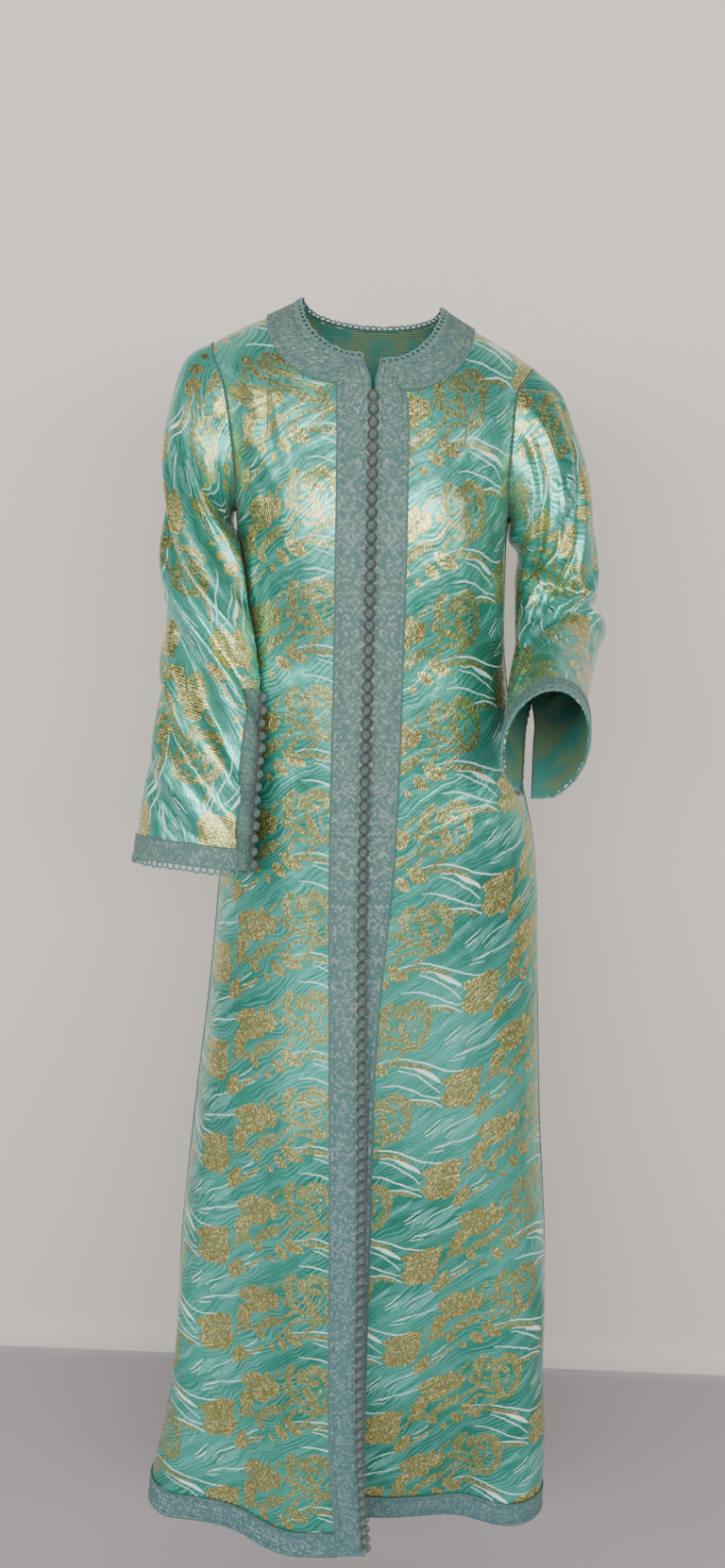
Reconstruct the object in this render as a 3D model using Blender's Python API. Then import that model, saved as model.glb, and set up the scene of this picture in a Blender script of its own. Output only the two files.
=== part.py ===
"""Moroccan kaftan, standing open as if worn: cloth panels, braids and knot buttons.

Metres, +Z up. The front faces -Y and the wearer's left is at +X. The origin lies midway
between the two points where the shoulder seams meet the neck.
"""

import math
from typing import NamedTuple

import bpy
import numpy as np

WALL = 0.0016
SEAM_GAP = 0.0003
LIFT = 0.0003
BRAID_THICK = 0.0015
FRONT_BRAID = 0.033
NECK_BRAID = 0.031
BACK_BRAID = 0.030
HEM_BRAID = 0.030
NECK_BRAID_EASE = 0.0016
ARMHOLE_GAP = 0.0009
BUTTON_CLEARANCE = 0.0055

LENGTH = 1.440
ARMPIT = -0.225
NECK_HALF = 0.0785
NECK_TOP = -0.004
SHOULDER_TILT = 0.0255
SHOULDER_SLOPE = 0.525
SHOULDER_TIP = {-1: 0.170, 1: 0.178}
CAP_HEIGHT = 0.120
CAP_POWER = 2.2
SECTION_POWER = 2.3
V_BOTTOM = -0.088
V_CORNER_X = {-1: -0.007, 1: 0.012}
V_CORNER_Z = {-1: -0.066, 1: -0.071}
BACK_NECK_DROP = 0.020
MITRE_DROP = 0.026
YOKE_BRAID_DROP = 0.020
YOKE_SHARE = 0.50
NECK_SHARE = 0.42
NECK_BRAID_TURNS = 13
ARMHOLE_TOP_SHARE = 0.2
SMALL = 1e-6
LEAST_CAP = 0.05

BUTTON_RADIUS = 0.0041
BUTTON_NECK = 0.0013
BUTTON_SIDES = 5
BUTTON_PITCH = 0.0128
BUTTON_GROUPS = 8
BUTTONS_IN_GROUP = 13
FIRST_BUTTON = -0.098
BUTTON_BESIDE_EDGE = 0.003
BUTTON_RISE = LIFT + BRAID_THICK + 0.0038
SLEEVE_BUTTONS = 14
BUTTON_STATIONS = 9

BODY_ROWS = 21
YOKE_ROWS = 3
NECK_ROWS = 5
FRONT_COLUMNS = 7
BACK_COLUMNS = 17
SHOULDER_COLUMNS = 4
SLEEVE_RINGS = 21
SLEEVE_COLUMNS = 18


class Section(NamedTuple):
    """A level section of the body: where its middle is, how wide it is and how far it reaches."""

    z: float
    shift: float
    half: float
    seam_y: float
    front_right: float
    front_left: float
    back: float


class Edge(NamedTuple):
    """The right front's edge at a height, and how far short of it the left front stops."""

    z: float
    x: float
    gap: float


class Armhole(NamedTuple):
    """Share of the way down the armhole, and share of the half width that the cloth keeps."""

    drop: float
    front: float
    back: float


class Fold(NamedTuple):
    """A soft upright fold: where it stands round the body, its heights, size and spread."""

    angle: float
    drift: float
    top: float
    foot: float
    out: float
    spread: float


class Ring(NamedTuple):
    """A section of a sleeve, with outward as the way from the body to the arm's outer side."""

    along: float
    outward: float
    y: float
    z: float
    wide: float
    deep: float
    lean: float
    pitch: float
    turn: float
    seam: float


class Crease(NamedTuple):
    """A slanting fold on a sleeve."""

    along: float
    angle: float
    slant: float
    out: float
    length: float
    spread: float


SECTIONS = (
    Section(-1.440, 0.025, 0.242, -0.050, 0.118, 0.056, 0.120),
    Section(-1.270, 0.036, 0.228, -0.042, 0.118, 0.076, 0.114),
    Section(-1.100, 0.036, 0.223, -0.034, 0.117, 0.090, 0.110),
    Section(-0.930, 0.034, 0.208, -0.026, 0.117, 0.103, 0.106),
    Section(-0.770, 0.035, 0.194, -0.020, 0.116, 0.109, 0.104),
    Section(-0.600, 0.033, 0.181, -0.014, 0.115, 0.1105, 0.102),
    Section(-0.490, 0.022, 0.165, -0.010, 0.114, 0.112, 0.092),
    Section(-0.380, 0.015, 0.151, -0.006, 0.117, 0.117, 0.082),
    Section(-0.300, 0.012, 0.149, -0.002, 0.126, 0.126, 0.088),
    Section(-0.215, 0.009, 0.151, 0.002, 0.132, 0.132, 0.096),
    Section(-0.150, 0.006, 0.158, 0.004, 0.122, 0.122, 0.101),
    Section(-0.100, 0.003, 0.166, 0.003, 0.110, 0.110, 0.100),
    Section(-0.050, 0.000, 0.185, 0.001, 0.098, 0.098, 0.094),
    Section(0.010, 0.000, 0.192, 0.000, 0.088, 0.088, 0.086),
)
EDGES = (
    Edge(-1.440, 0.052, -0.036),
    Edge(-1.290, 0.038, -0.025),
    Edge(-1.030, 0.029, -0.020),
    Edge(-0.800, 0.020, -0.014),
    Edge(-0.580, 0.0125, 0.004),
    Edge(-0.350, 0.009, 0.006),
    Edge(-0.130, 0.004, 0.006),
    Edge(-0.088, 0.002, 0.006),
)
ARMHOLE = (
    Armhole(0.00, 0.920, 0.920),
    Armhole(0.20, 0.930, 0.930),
    Armhole(0.40, 0.945, 0.940),
    Armhole(0.60, 0.950, 0.948),
    Armhole(0.80, 0.968, 0.962),
    Armhole(0.92, 0.987, 0.985),
    Armhole(1.00, 1.000, 1.000),
)
FOLDS = (
    Fold(-16.0, 4.0, -0.75, -1.44, 0.006, 9.0),
    Fold(-42.0, 6.0, -0.70, -1.44, -0.020, 13.0),
    Fold(-66.0, -4.0, -0.85, -1.44, 0.009, 10.0),
    Fold(24.0, 5.0, -0.80, -1.44, -0.005, 10.0),
    Fold(44.0, 4.0, -0.60, -1.44, 0.007, 11.0),
    Fold(60.0, 4.0, -0.95, -1.44, 0.024, 16.0),
    Fold(112.0, 6.0, -0.66, -1.44, 0.010, 11.0),
    Fold(138.0, -4.0, -0.78, -1.44, -0.014, 12.0),
    Fold(164.0, 5.0, -0.58, -1.44, 0.011, 12.0),
    Fold(190.0, -3.0, -0.80, -1.44, -0.012, 11.0),
    Fold(216.0, 4.0, -0.62, -1.44, 0.012, 12.0),
    Fold(244.0, -5.0, -0.84, -1.44, -0.010, 10.0),
)
RIGHT_RINGS = (
    Ring(0.000, 0.156, 0.002, -0.136, 0.090, 0.050, 81.0, 0.0, 0.0, 180.0),
    Ring(0.060, 0.1715, 0.002, -0.147, 0.087, 0.054, 72.0, 0.0, 0.0, 180.0),
    Ring(0.120, 0.180, 0.001, -0.173, 0.073, 0.056, 62.0, 0.0, 0.0, 180.0),
    Ring(0.190, 0.180, -0.010, -0.203, 0.061, 0.057, 50.0, 2.0, 12.0, 180.0),
    Ring(0.270, 0.170, -0.028, -0.240, 0.056, 0.057, 30.0, 3.0, 26.0, 180.0),
    Ring(0.370, 0.166, -0.048, -0.300, 0.055, 0.052, 12.0, 6.0, 32.0, 182.0),
    Ring(0.560, 0.158, -0.068, -0.398, 0.060, 0.046, 8.0, 10.0, 30.0, 186.0),
    Ring(0.730, 0.163, -0.084, -0.484, 0.065, 0.042, 7.0, 11.0, 30.0, 188.0),
    Ring(0.870, 0.170, -0.094, -0.548, 0.070, 0.041, 5.0, 12.0, 30.0, 190.0),
    Ring(1.000, 0.174, -0.102, -0.607, 0.073, 0.042, 4.0, 13.0, 30.0, 190.0),
)
LEFT_RINGS = (
    Ring(0.000, 0.169, 0.002, -0.147, 0.087, 0.050, 83.0, 0.0, 0.0, 180.0),
    Ring(0.060, 0.185, 0.002, -0.160, 0.080, 0.056, 72.0, 0.0, 0.0, 180.0),
    Ring(0.120, 0.195, 0.003, -0.180, 0.070, 0.059, 62.0, 0.0, 0.0, 184.0),
    Ring(0.190, 0.206, 0.004, -0.208, 0.058, 0.061, 46.0, 0.0, 0.0, 190.0),
    Ring(0.270, 0.216, 0.006, -0.245, 0.044, 0.062, 22.0, 2.0, 0.0, 200.0),
    Ring(0.370, 0.220, 0.009, -0.290, 0.045, 0.063, 2.0, 14.0, 0.0, 215.0),
    Ring(0.500, 0.224, -0.004, -0.340, 0.047, 0.064, -4.0, 38.0, 2.0, 235.0),
    Ring(0.640, 0.218, -0.050, -0.376, 0.044, 0.065, -5.0, 56.0, 4.0, 250.0),
    Ring(0.800, 0.205, -0.114, -0.405, 0.042, 0.066, -4.0, 62.0, 4.0, 256.0),
    Ring(1.000, 0.194, -0.200, -0.441, 0.042, 0.068, -3.0, 64.0, 4.0, 258.0),
)
RIGHT_CREASES = (
    Crease(0.30, 55.0, 0.16, -0.010, 0.035, 45.0),
    Crease(0.40, 100.0, 0.18, 0.006, 0.035, 40.0),
    Crease(0.50, 60.0, 0.10, -0.006, 0.035, 45.0),
    Crease(0.62, 110.0, 0.16, -0.006, 0.050, 40.0),
    Crease(0.80, 70.0, 0.14, 0.004, 0.060, 35.0),
    Crease(0.45, 280.0, -0.12, -0.008, 0.040, 50.0),
    Crease(0.66, 300.0, 0.10, -0.006, 0.050, 45.0),
)
LEFT_CREASES = (
    Crease(0.24, 70.0, 0.14, -0.007, 0.030, 45.0),
    Crease(0.34, 110.0, 0.16, 0.006, 0.030, 40.0),
    Crease(0.44, 95.0, -0.12, -0.012, 0.030, 45.0),
    Crease(0.54, 60.0, -0.10, 0.007, 0.032, 40.0),
    Crease(0.62, 110.0, -0.10, -0.009, 0.030, 45.0),
    Crease(0.50, 355.0, 0.06, 0.009, 0.035, 50.0),
    Crease(0.40, 290.0, 0.10, -0.006, 0.035, 50.0),
)
SLEEVES = {
    -1: ("right", RIGHT_RINGS, RIGHT_CREASES, 12),
    1: ("left", LEFT_RINGS, LEFT_CREASES, 12),
}
SLIT_HALF_ANGLE = {-1: 2.0, 1: 9.0}
SLIT_OPENING_RINGS = 4
SEAM_HALF_ANGLE = 1.0
SLIT_BRAID_ANGLE = 24.0
SLIT_TOP = 0.585
CUFF_TOP = 0.950
HEAD_SHARE = 0.20
ARMPIT_HALF_ANGLE = 30.0
ARMPIT_BLEND_ANGLE = 40.0
BODY_CLEARANCE = 0.004


def clear_scene():
    """Removes the startup objects."""
    for item in list(bpy.data.objects):
        bpy.data.objects.remove(item, do_unlink=True)


def cloth_material(name, colour, roughness, metallic):
    """A Principled material of one colour."""
    material = bpy.data.materials.new(name)
    material.use_nodes = True
    shader = material.node_tree.nodes["Principled BSDF"]
    shader.inputs["Base Color"].default_value = (*colour, 1.0)
    shader.inputs["Roughness"].default_value = roughness
    shader.inputs["Metallic"].default_value = metallic
    material.diffuse_color = (*colour, 1.0)
    return material


def through(table, column, at):
    """Reads a column at a place between the table's rows, on a smooth curve through them."""
    places = [row[0] for row in table]
    values = [getattr(row, column) for row in table]
    if at <= places[0]:
        return values[0]
    if at >= places[-1]:
        return values[-1]
    i = max(k for k, place in enumerate(places[:-1]) if place <= at)

    def slope(k):
        a, b = max(k - 1, 0), min(k + 1, len(places) - 1)
        return (values[b] - values[a]) / (places[b] - places[a])

    span = places[i + 1] - places[i]
    t = (at - places[i]) / span
    rise = values[i] * (2 * t**3 - 3 * t**2 + 1) + values[i + 1] * (3 * t**2 - 2 * t**3)
    return rise + span * (slope(i) * (t**3 - 2 * t**2 + t) + slope(i + 1) * (t**3 - t**2))


def powered(value, power):
    """A power that keeps the sign."""
    return math.copysign(abs(value) ** power, value)


def bump(distance):
    """A soft bell, 1 at the middle and 0 from one spread away."""
    return (1 - distance * distance) ** 2 if abs(distance) < 1 else 0.0


def ease(t):
    """Goes smoothly from 0 to 1."""
    t = min(max(t, 0.0), 1.0)
    return t * t * (3 - 2 * t)


def shoulder_height(x):
    """Height of the shoulder line, which drops outside the neck and leans to the left."""
    return NECK_TOP - SHOULDER_TILT * x - SHOULDER_SLOPE * max(0.0, abs(x) - NECK_HALF)


def shoulder_cap(x, z):
    """How much of its full depth the body has this far below the shoulder line."""
    drop = (shoulder_height(x) - z) / CAP_HEIGHT
    if drop <= 0:
        return 0.0
    if drop >= 1:
        return 1.0
    return (1 - (1 - drop) ** CAP_POWER) ** (1 / CAP_POWER)


def fold_reach(angle, z):
    """How far the folds move the cloth outwards at this angle round the body."""
    reach = 0.0
    for fold in FOLDS:
        share = ease((fold.top - z) / (fold.top - fold.foot))
        middle = fold.angle + fold.drift * share
        away = (angle - middle + 180.0) % 360.0 - 180.0
        reach += fold.out * share * bump(away / (2 * fold.spread))
    return reach


def body_point(angle, z, side=0):
    """The cloth's outer face at an angle round the body, where 0 is front and 90 is left.

    The two fronts differ below the hip, and side says which of them is meant.
    """
    turn = math.radians(angle)
    sine, cosine = math.sin(turn), math.cos(turn)
    shift = through(SECTIONS, "shift", z)
    half = through(SECTIONS, "half", z)
    seam_y = through(SECTIONS, "seam_y", z)
    column = "back"
    if cosine > 0:
        column = "front_left" if (side or sine) > 0 else "front_right"
    depth = through(SECTIONS, column, z)
    across, ahead = powered(sine, 2 / SECTION_POWER), powered(cosine, 2 / SECTION_POWER)
    steep = SECTION_POWER - 1
    away = np.array((powered(across, steep) / half, -powered(ahead, steep) / depth))
    away = away / np.linalg.norm(away) * fold_reach(angle, z)
    x, y = shift + half * across + away[0], seam_y - depth * ahead + away[1]
    return np.array((x, y * shoulder_cap(x, z), z))


def angle_at(x, z, back=False):
    """The angle round the body at which the cloth has this x, without its folds."""
    share = (x - through(SECTIONS, "shift", z)) / through(SECTIONS, "half", z)
    share = min(max(share, -1.0), 1.0)
    angle = math.degrees(math.asin(powered(share, SECTION_POWER / 2)))
    return 180.0 - angle if back else angle


def body_normal(angle, z, side=0):
    """The outward direction of the cloth, from points close by."""
    step = 0.6
    rise = 0.004
    ahead = body_point(angle + step, z, side) - body_point(angle - step, z, side)
    above = body_point(angle, z + rise, side) - body_point(angle, z - rise, side)
    normal = np.cross(ahead, above)
    return normal / np.linalg.norm(normal)


def ridge_normal(x):
    """Straight out from the shoulder seam."""
    slope = SHOULDER_TILT + math.copysign(SHOULDER_SLOPE, x)
    normal = np.array((slope, 0.0, 1.0))
    return normal / np.linalg.norm(normal)


def armhole_place(side, drop, back=False):
    """(angle, z) on the armhole, this share of the way from the shoulder tip to the armpit."""
    tip = side * SHOULDER_TIP[side]
    top = shoulder_height(tip)
    z = top + drop * (ARMPIT - top)
    share = through(ARMHOLE, "back" if back else "front", drop)
    x = through(SECTIONS, "shift", z) + side * share * through(SECTIONS, "half", z)
    x += (tip - x) * max(0.0, 1 - drop / ARMHOLE_TOP_SHARE) ** 2
    return angle_at(x, z, back), z


def neck_inner(side, turn):
    """(x, z) on the front neckline, from the V's corner at 0 to the shoulder seam at 90."""
    corner_x, corner_z = V_CORNER_X[side], V_CORNER_Z[side]
    end_x = side * NECK_HALF
    end_z = shoulder_height(end_x)
    sine, cosine = math.sin(math.radians(turn)), math.cos(math.radians(turn))
    return corner_x + (end_x - corner_x) * sine, corner_z + (end_z - corner_z) * (1 - cosine)


def neck_outer(side, turn):
    """(x, z) on the neck braid's outer edge, from the mitre's foot to the shoulder seam."""
    start_x = through(EDGES, "x", V_BOTTOM) + side * FRONT_BRAID
    start_z = V_CORNER_Z[side] - MITRE_DROP
    end_x = side * (NECK_HALF + NECK_BRAID)
    end_z = shoulder_height(end_x)
    sine, cosine = math.sin(math.radians(turn)), math.cos(math.radians(turn))
    return start_x + (end_x - start_x) * sine, start_z + (end_z - start_z) * (1 - cosine)


def back_neck(half, drop, turn):
    """(x, z) on a curve across the back neck, from the right seam at -90 to the left at 90."""
    sine, cosine = math.sin(math.radians(turn)), math.cos(math.radians(turn))
    x = half * sine
    return x, shoulder_height(x) - drop * cosine


def front_edge(side, z):
    """x of a front's edge at a height."""
    x = through(EDGES, "x", z)
    return x + through(EDGES, "gap", z) if side > 0 else x


def row_heights():
    """Heights of the rows below the armpit, from the hem up."""
    hem = -LENGTH
    first = hem + HEM_BRAID
    return [hem] + [first + (ARMPIT - first) * k / BODY_ROWS for k in range(BODY_ROWS + 1)]


def front_rows(side):
    """The rows of a front: (inner x, inner z, braid x, braid z, outer angle, outer z)."""
    rows = []
    for z in row_heights():
        x = front_edge(side, z)
        rows.append((x, z, x + side * FRONT_BRAID, z, side * 90.0, z))
    for k in range(1, YOKE_ROWS + 1):
        share = k / YOKE_ROWS
        z = ARMPIT + (V_BOTTOM - ARMPIT) * share
        x = front_edge(side, z)
        angle, outer_z = armhole_place(side, 1 - YOKE_SHARE * share)
        braid_z = z - YOKE_BRAID_DROP * share**2
        rows.append((x, z, x + side * FRONT_BRAID, braid_z, angle, outer_z))
    for k in range(NECK_ROWS):
        share = k / (NECK_ROWS - 1)
        inner, braid = neck_inner(side, 90 * share), neck_outer(side, 90 * share)
        angle, outer_z = armhole_place(side, NECK_SHARE * (1 - share))
        rows.append((*inner, *braid, angle, outer_z))
    return rows


def front_grid(side):
    """Points and outward directions of a front, rows from the hem up, columns from its edge."""
    points, normals = [], []
    rows = front_rows(side)
    for number, (inner_x, inner_z, braid_x, braid_z, outer_angle, outer_z) in enumerate(rows):
        places = []
        for share in (0.0, 0.5):
            z = inner_z + (braid_z - inner_z) * share
            places.append((angle_at(inner_x + (braid_x - inner_x) * share, z), z))
        start = angle_at(braid_x, braid_z)
        for k in range(FRONT_COLUMNS):
            share = k / (FRONT_COLUMNS - 1)
            angle = start + (outer_angle - start) * share
            places.append((angle, braid_z + (outer_z - braid_z) * share))
        line = np.array([body_point(angle, z, side) for angle, z in places])
        if number == len(rows) - 1:
            out = np.array([ridge_normal(point[0]) for point in line])
            line[:, 2] = [shoulder_height(point[0]) for point in line]
            line[:, 1] = -SEAM_GAP / 2
        else:
            out = np.array([body_normal(angle, z, side) for angle, z in places])
        points.append(line)
        normals.append(out)
    points, normals = np.array(points), np.array(normals)
    points[: BODY_ROWS + 2, -1, 1] -= SEAM_GAP / 2
    return points, normals


def back_grid():
    """Points and outward directions of the back, columns from the left seam to the right."""
    last = BACK_COLUMNS - 1
    points, normals = [], []
    for z in row_heights():
        line, out = [], []
        for k in range(BACK_COLUMNS):
            angle = 90 + 180 * k / last
            line.append(body_point(angle, z))
            out.append(body_normal(angle, z))
        points.append(line)
        normals.append(out)
    seam = [side * x for side, x in ((1, SHOULDER_TIP[1]), (-1, SHOULDER_TIP[-1]))]
    top = []
    for k in range(SHOULDER_COLUMNS):
        x = seam[0] + (NECK_HALF - seam[0]) * k / SHOULDER_COLUMNS
        top.append((x, shoulder_height(x)))
    across = last - 2 * SHOULDER_COLUMNS
    for k in range(across + 1):
        top.append(back_neck(NECK_HALF, BACK_NECK_DROP, 90 - 180 * k / across))
    for k in range(1, SHOULDER_COLUMNS + 1):
        x = -NECK_HALF + (seam[1] + NECK_HALF) * k / SHOULDER_COLUMNS
        top.append((x, shoulder_height(x)))
    rows = YOKE_ROWS + NECK_ROWS
    for r in range(1, rows + 1):
        rise = r / rows
        left, left_z = armhole_place(1, 1 - rise, back=True)
        right, right_z = armhole_place(-1, 1 - rise, back=True)
        right = right % 360
        line, out = [], []
        for k, (x, top_z) in enumerate(top):
            even = k / last
            z = ARMPIT + (top_z - ARMPIT) * rise
            goal = (angle_at(x, z, back=True) % 360 - left) / (right - left)
            share = even + (goal - even) * rise
            if k in (0, last):
                share, z = even, (left_z, right_z)[k // last]
            angle = left + (right - left) * share
            point = body_point(angle, z)
            normal = body_normal(angle, z) if r < rows or abs(x) < NECK_HALF - SMALL else ridge_normal(x)
            if r == rows and abs(x) >= NECK_HALF - SMALL:
                point = np.array((x, SEAM_GAP / 2, top_z))
            line.append(point)
            out.append(normal)
        points.append(line)
        normals.append(out)
    points, normals = np.array(points), np.array(normals)
    points[: BODY_ROWS + 2, 0, 1] += SEAM_GAP / 2
    points[: BODY_ROWS + 2, -1, 1] += SEAM_GAP / 2
    return points, normals


def mesh_object(name, points, faces, material):
    """Adds a mesh object, shaded smooth up to a sharp edge."""
    mesh = bpy.data.meshes.new(name)
    mesh.from_pydata([tuple(map(float, point)) for point in points], [], faces)
    mesh.materials.append(material)
    mesh.shade_smooth()
    mesh.set_sharp_from_angle(angle=math.radians(50))
    item = bpy.data.objects.new(name, mesh)
    bpy.context.scene.collection.objects.link(item)
    return item


def wall(name, points, normals, bottom, top, material, closed_rows=0, flip=False):
    """A closed wall between two copies of a grid, moved out by bottom and top.

    The last column joins the first along the first closed_rows rows.
    """
    rows, columns = points.shape[:2]
    sheet = []
    for r in range(rows - 1):
        for c in range(columns if r < closed_rows else columns - 1):
            d = (c + 1) % columns
            quad = (r * columns + c, r * columns + d, (r + 1) * columns + d, (r + 1) * columns + c)
            sheet.append(quad[::-1] if flip else quad)
    count = rows * columns
    edges = {}
    for quad in sheet:
        for k in range(4):
            edges[(quad[k], quad[(k + 1) % 4])] = True
    faces = list(sheet)
    faces += [tuple(count + quad[k] for k in (0, 3, 2, 1)) for quad in sheet]
    for a, b in edges:
        if (b, a) not in edges:
            faces.append((b, a, count + a, count + b))
    upper = (points + normals * top).reshape(-1, 3)
    lower = (points + normals * bottom).reshape(-1, 3)
    return mesh_object(name, np.concatenate([upper, lower]), faces, material)


def drawn_in(points, axis, first=0.0, last=0.0):
    """Moves a grid's first and last lines inwards by a distance, along the grid."""
    points = np.swapaxes(points.copy(), 0, axis)
    for end, inside, distance in ((0, 1, first), (-1, -2, last)):
        way = points[inside] - points[end]
        length = np.linalg.norm(way, axis=-1, keepdims=True)
        points[end] += way / length * distance
    return np.swapaxes(points, 0, axis)


def braid(name, points, normals, material, flip):
    """A braid made from a panel's own points, moved out."""
    return wall(name, points, normals, LIFT, LIFT + BRAID_THICK, material, flip=flip)


def body_outside(point, clearance):
    """Moves a point that is in or on the body out of it, level, to a clearance."""
    x, y, z = point
    shift = through(SECTIONS, "shift", z)
    seam_y = through(SECTIONS, "seam_y", z)
    half = through(SECTIONS, "half", z) + clearance
    column = "back" if y > seam_y else ("front_left" if x > shift else "front_right")
    depth = through(SECTIONS, column, z) * max(shoulder_cap(x, z), LEAST_CAP) + clearance
    across, ahead = (x - shift) / half, (y - seam_y) / depth
    size = (abs(across) ** SECTION_POWER + abs(ahead) ** SECTION_POWER) ** (1 / SECTION_POWER)
    if size >= 1:
        return point
    return np.array((shift + (x - shift) / size, seam_y + (y - seam_y) / size, z))


def armhole_loop(side, grid_front, grid_back):
    """The armhole as two lines of points from the shoulder tip to the armpit, front and back."""
    start = BODY_ROWS + 1
    front = grid_front[start:, -1][::-1]
    back = grid_back[start:, 0 if side > 0 else -1][::-1]
    return front, back


def along_line(line, share):
    """The point at a share of a line's length."""
    steps = np.linalg.norm(np.diff(line, axis=0), axis=1)
    places = np.concatenate([[0.0], np.cumsum(steps)]) / steps.sum()
    return np.array([np.interp(share, places, line[:, k]) for k in range(3)])


def loop_point(front, back, angle):
    """The armhole at an angle: 0 at the tip, 90 in front, 180 at the armpit."""
    angle = angle % 360.0
    if angle <= 180:
        return along_line(front, angle / 180)
    return along_line(back, (360 - angle) / 180)


def ring_point(side, rings, along, angle, reach=0.0):
    """A point of a sleeve's section, before it meets the armhole."""
    read = {name: through(rings, name, along) for name in Ring._fields[1:9]}
    lean, pitch = math.radians(read["lean"]), math.radians(read["pitch"])
    turn = math.radians(read["turn"])
    across = np.array((side * math.cos(lean), 0.0, math.sin(lean)))
    ahead = np.array((0.0, -math.cos(pitch), math.sin(pitch)))
    outer = across * math.cos(turn) - ahead * math.sin(turn)
    front = ahead * math.cos(turn) + across * math.sin(turn)
    sine, cosine = math.sin(math.radians(angle)), math.cos(math.radians(angle))
    middle = np.array((side * read["outward"], read["y"], read["z"]))
    wide, deep = read["wide"] + reach, read["deep"] + reach
    return middle + outer * wide * cosine + front * deep * sine


def crease_reach(creases, along, angle):
    """How far the creases move a sleeve's cloth outwards."""
    reach = 0.0
    for crease in creases:
        away = (angle - crease.angle + 180.0) % 360.0 - 180.0
        middle = crease.along + crease.slant * away / 90.0
        level = (along - middle) / (2 * crease.length)
        reach += crease.out * bump(level) * bump(away / (2 * crease.spread))
    return reach


def sleeve_grid(side, fronts, back):
    """Points and outward directions of a sleeve, rings from the armhole, columns round it."""
    _, rings, creases, closed = SLEEVES[side]
    points_front, normals_front = fronts
    points_back, normals_back = back
    loop = armhole_loop(side, points_front, points_back)
    loop_normals = armhole_loop(side, normals_front, normals_back)
    points = []
    for k in range(SLEEVE_RINGS):
        along = sleeve_place(k, closed)
        seam = through(rings, "seam", along)
        gap = SLIT_HALF_ANGLE[side] * ease((k - closed) / SLIT_OPENING_RINGS) + SEAM_HALF_ANGLE
        line = []
        for c in range(SLEEVE_COLUMNS):
            angle = seam_angle(seam, gap, c)
            reach = crease_reach(creases, along, angle)
            point = ring_point(side, rings, along, angle, reach)
            blend = 1 - ease(along / HEAD_SHARE)
            if blend > 0:
                wanted = loop_point(*loop, angle)
                wanted[0] += side * ARMHOLE_GAP
                point = point + (wanted - ring_point(side, rings, 0.0, angle)) * blend
            if k > 1:
                point = body_outside(point, BODY_CLEARANCE)
            line.append(point)
        points.append(line)
    points = np.array(points)
    normals = grid_normals(points, side)
    for c in range(SLEEVE_COLUMNS):
        angle = seam_angle(180.0, SEAM_HALF_ANGLE, c)
        seam_normal = loop_point(*loop_normals, angle)
        own = ease((abs((angle % 360.0) - 180.0) - ARMPIT_HALF_ANGLE) / ARMPIT_BLEND_ANGLE)
        mixed = seam_normal * own + normals[0, c] * (1 - own)
        normals[0, c] = mixed / np.linalg.norm(mixed)
    return points, normals


def sleeve_place(k, closed):
    """How far along a sleeve a ring lies: even above the slit, and the cuff braid's depth last."""
    if k <= closed:
        return SLIT_TOP * k / closed
    if k == SLEEVE_RINGS - 1:
        return 1.0
    steps = SLEEVE_RINGS - 2 - closed
    return SLIT_TOP + (CUFF_TOP - SLIT_TOP) * (k - closed) / steps


def seam_angle(seam, gap, column):
    """The angle of a sleeve's column, with the slit braid's width in the first and last one."""
    edge = SLIT_BRAID_ANGLE
    last = SLEEVE_COLUMNS - 1
    start, end = seam + gap, seam + 360.0 - gap
    if column == 0:
        return start
    if column == last:
        return end
    return start + edge + (end - start - 2 * edge) * (column - 1) / (last - 2)


def grid_normals(points, side):
    """Outward directions of a sleeve's grid, from each point's neighbours."""
    rows = len(points)
    normals = np.zeros_like(points)
    for r in range(rows):
        before, after = points[max(r - 1, 0)], points[min(r + 1, rows - 1)]
        down = after - before
        round_ = np.roll(points[r], -1, axis=0) - np.roll(points[r], 1, axis=0)
        normal = np.cross(round_, down) * side
        normals[r] = normal / np.linalg.norm(normal, axis=1, keepdims=True)
    return normals


def bead_chain(name, path, outs, pitch, material):
    """Knot buttons in a row on their cord: a tube that swells at each knot."""
    lengths = np.concatenate([[0.0], np.cumsum(np.linalg.norm(np.diff(path, axis=0), axis=1))])
    count = int(round(lengths[-1] / pitch))
    profile = ((0.0, BUTTON_NECK), (0.30, BUTTON_RADIUS), (0.70, BUTTON_RADIUS))
    stations = [((k + share) * lengths[-1] / count, r) for k in range(count) for share, r in profile]
    stations.append((lengths[-1], BUTTON_NECK))
    points, faces = [], []
    for place, radius in stations:
        middle = np.array([np.interp(place, lengths, path[:, k]) for k in range(3)])
        out = np.array([np.interp(place, lengths, outs[:, k]) for k in range(3)])
        step = 1e-3
        ahead = np.array([np.interp(place + step, lengths, path[:, k]) for k in range(3)])
        behind = np.array([np.interp(place - step, lengths, path[:, k]) for k in range(3)])
        way = (ahead - behind) / np.linalg.norm(ahead - behind)
        out = out - way * out.dot(way)
        out = out / np.linalg.norm(out)
        beside = np.cross(way, out)
        for k in range(BUTTON_SIDES):
            turn = 2 * math.pi * k / BUTTON_SIDES
            points.append(middle + radius * (out * math.cos(turn) + beside * math.sin(turn)))
    for s in range(len(stations) - 1):
        for k in range(BUTTON_SIDES):
            a, b = s * BUTTON_SIDES + k, s * BUTTON_SIDES + (k + 1) % BUTTON_SIDES
            faces.append((a, b, b + BUTTON_SIDES, a + BUTTON_SIDES))
    last = (len(stations) - 1) * BUTTON_SIDES
    faces.append(tuple(range(BUTTON_SIDES - 1, -1, -1)))
    faces.append(tuple(last + k for k in range(BUTTON_SIDES)))
    return mesh_object(name, points, faces, material)


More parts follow.
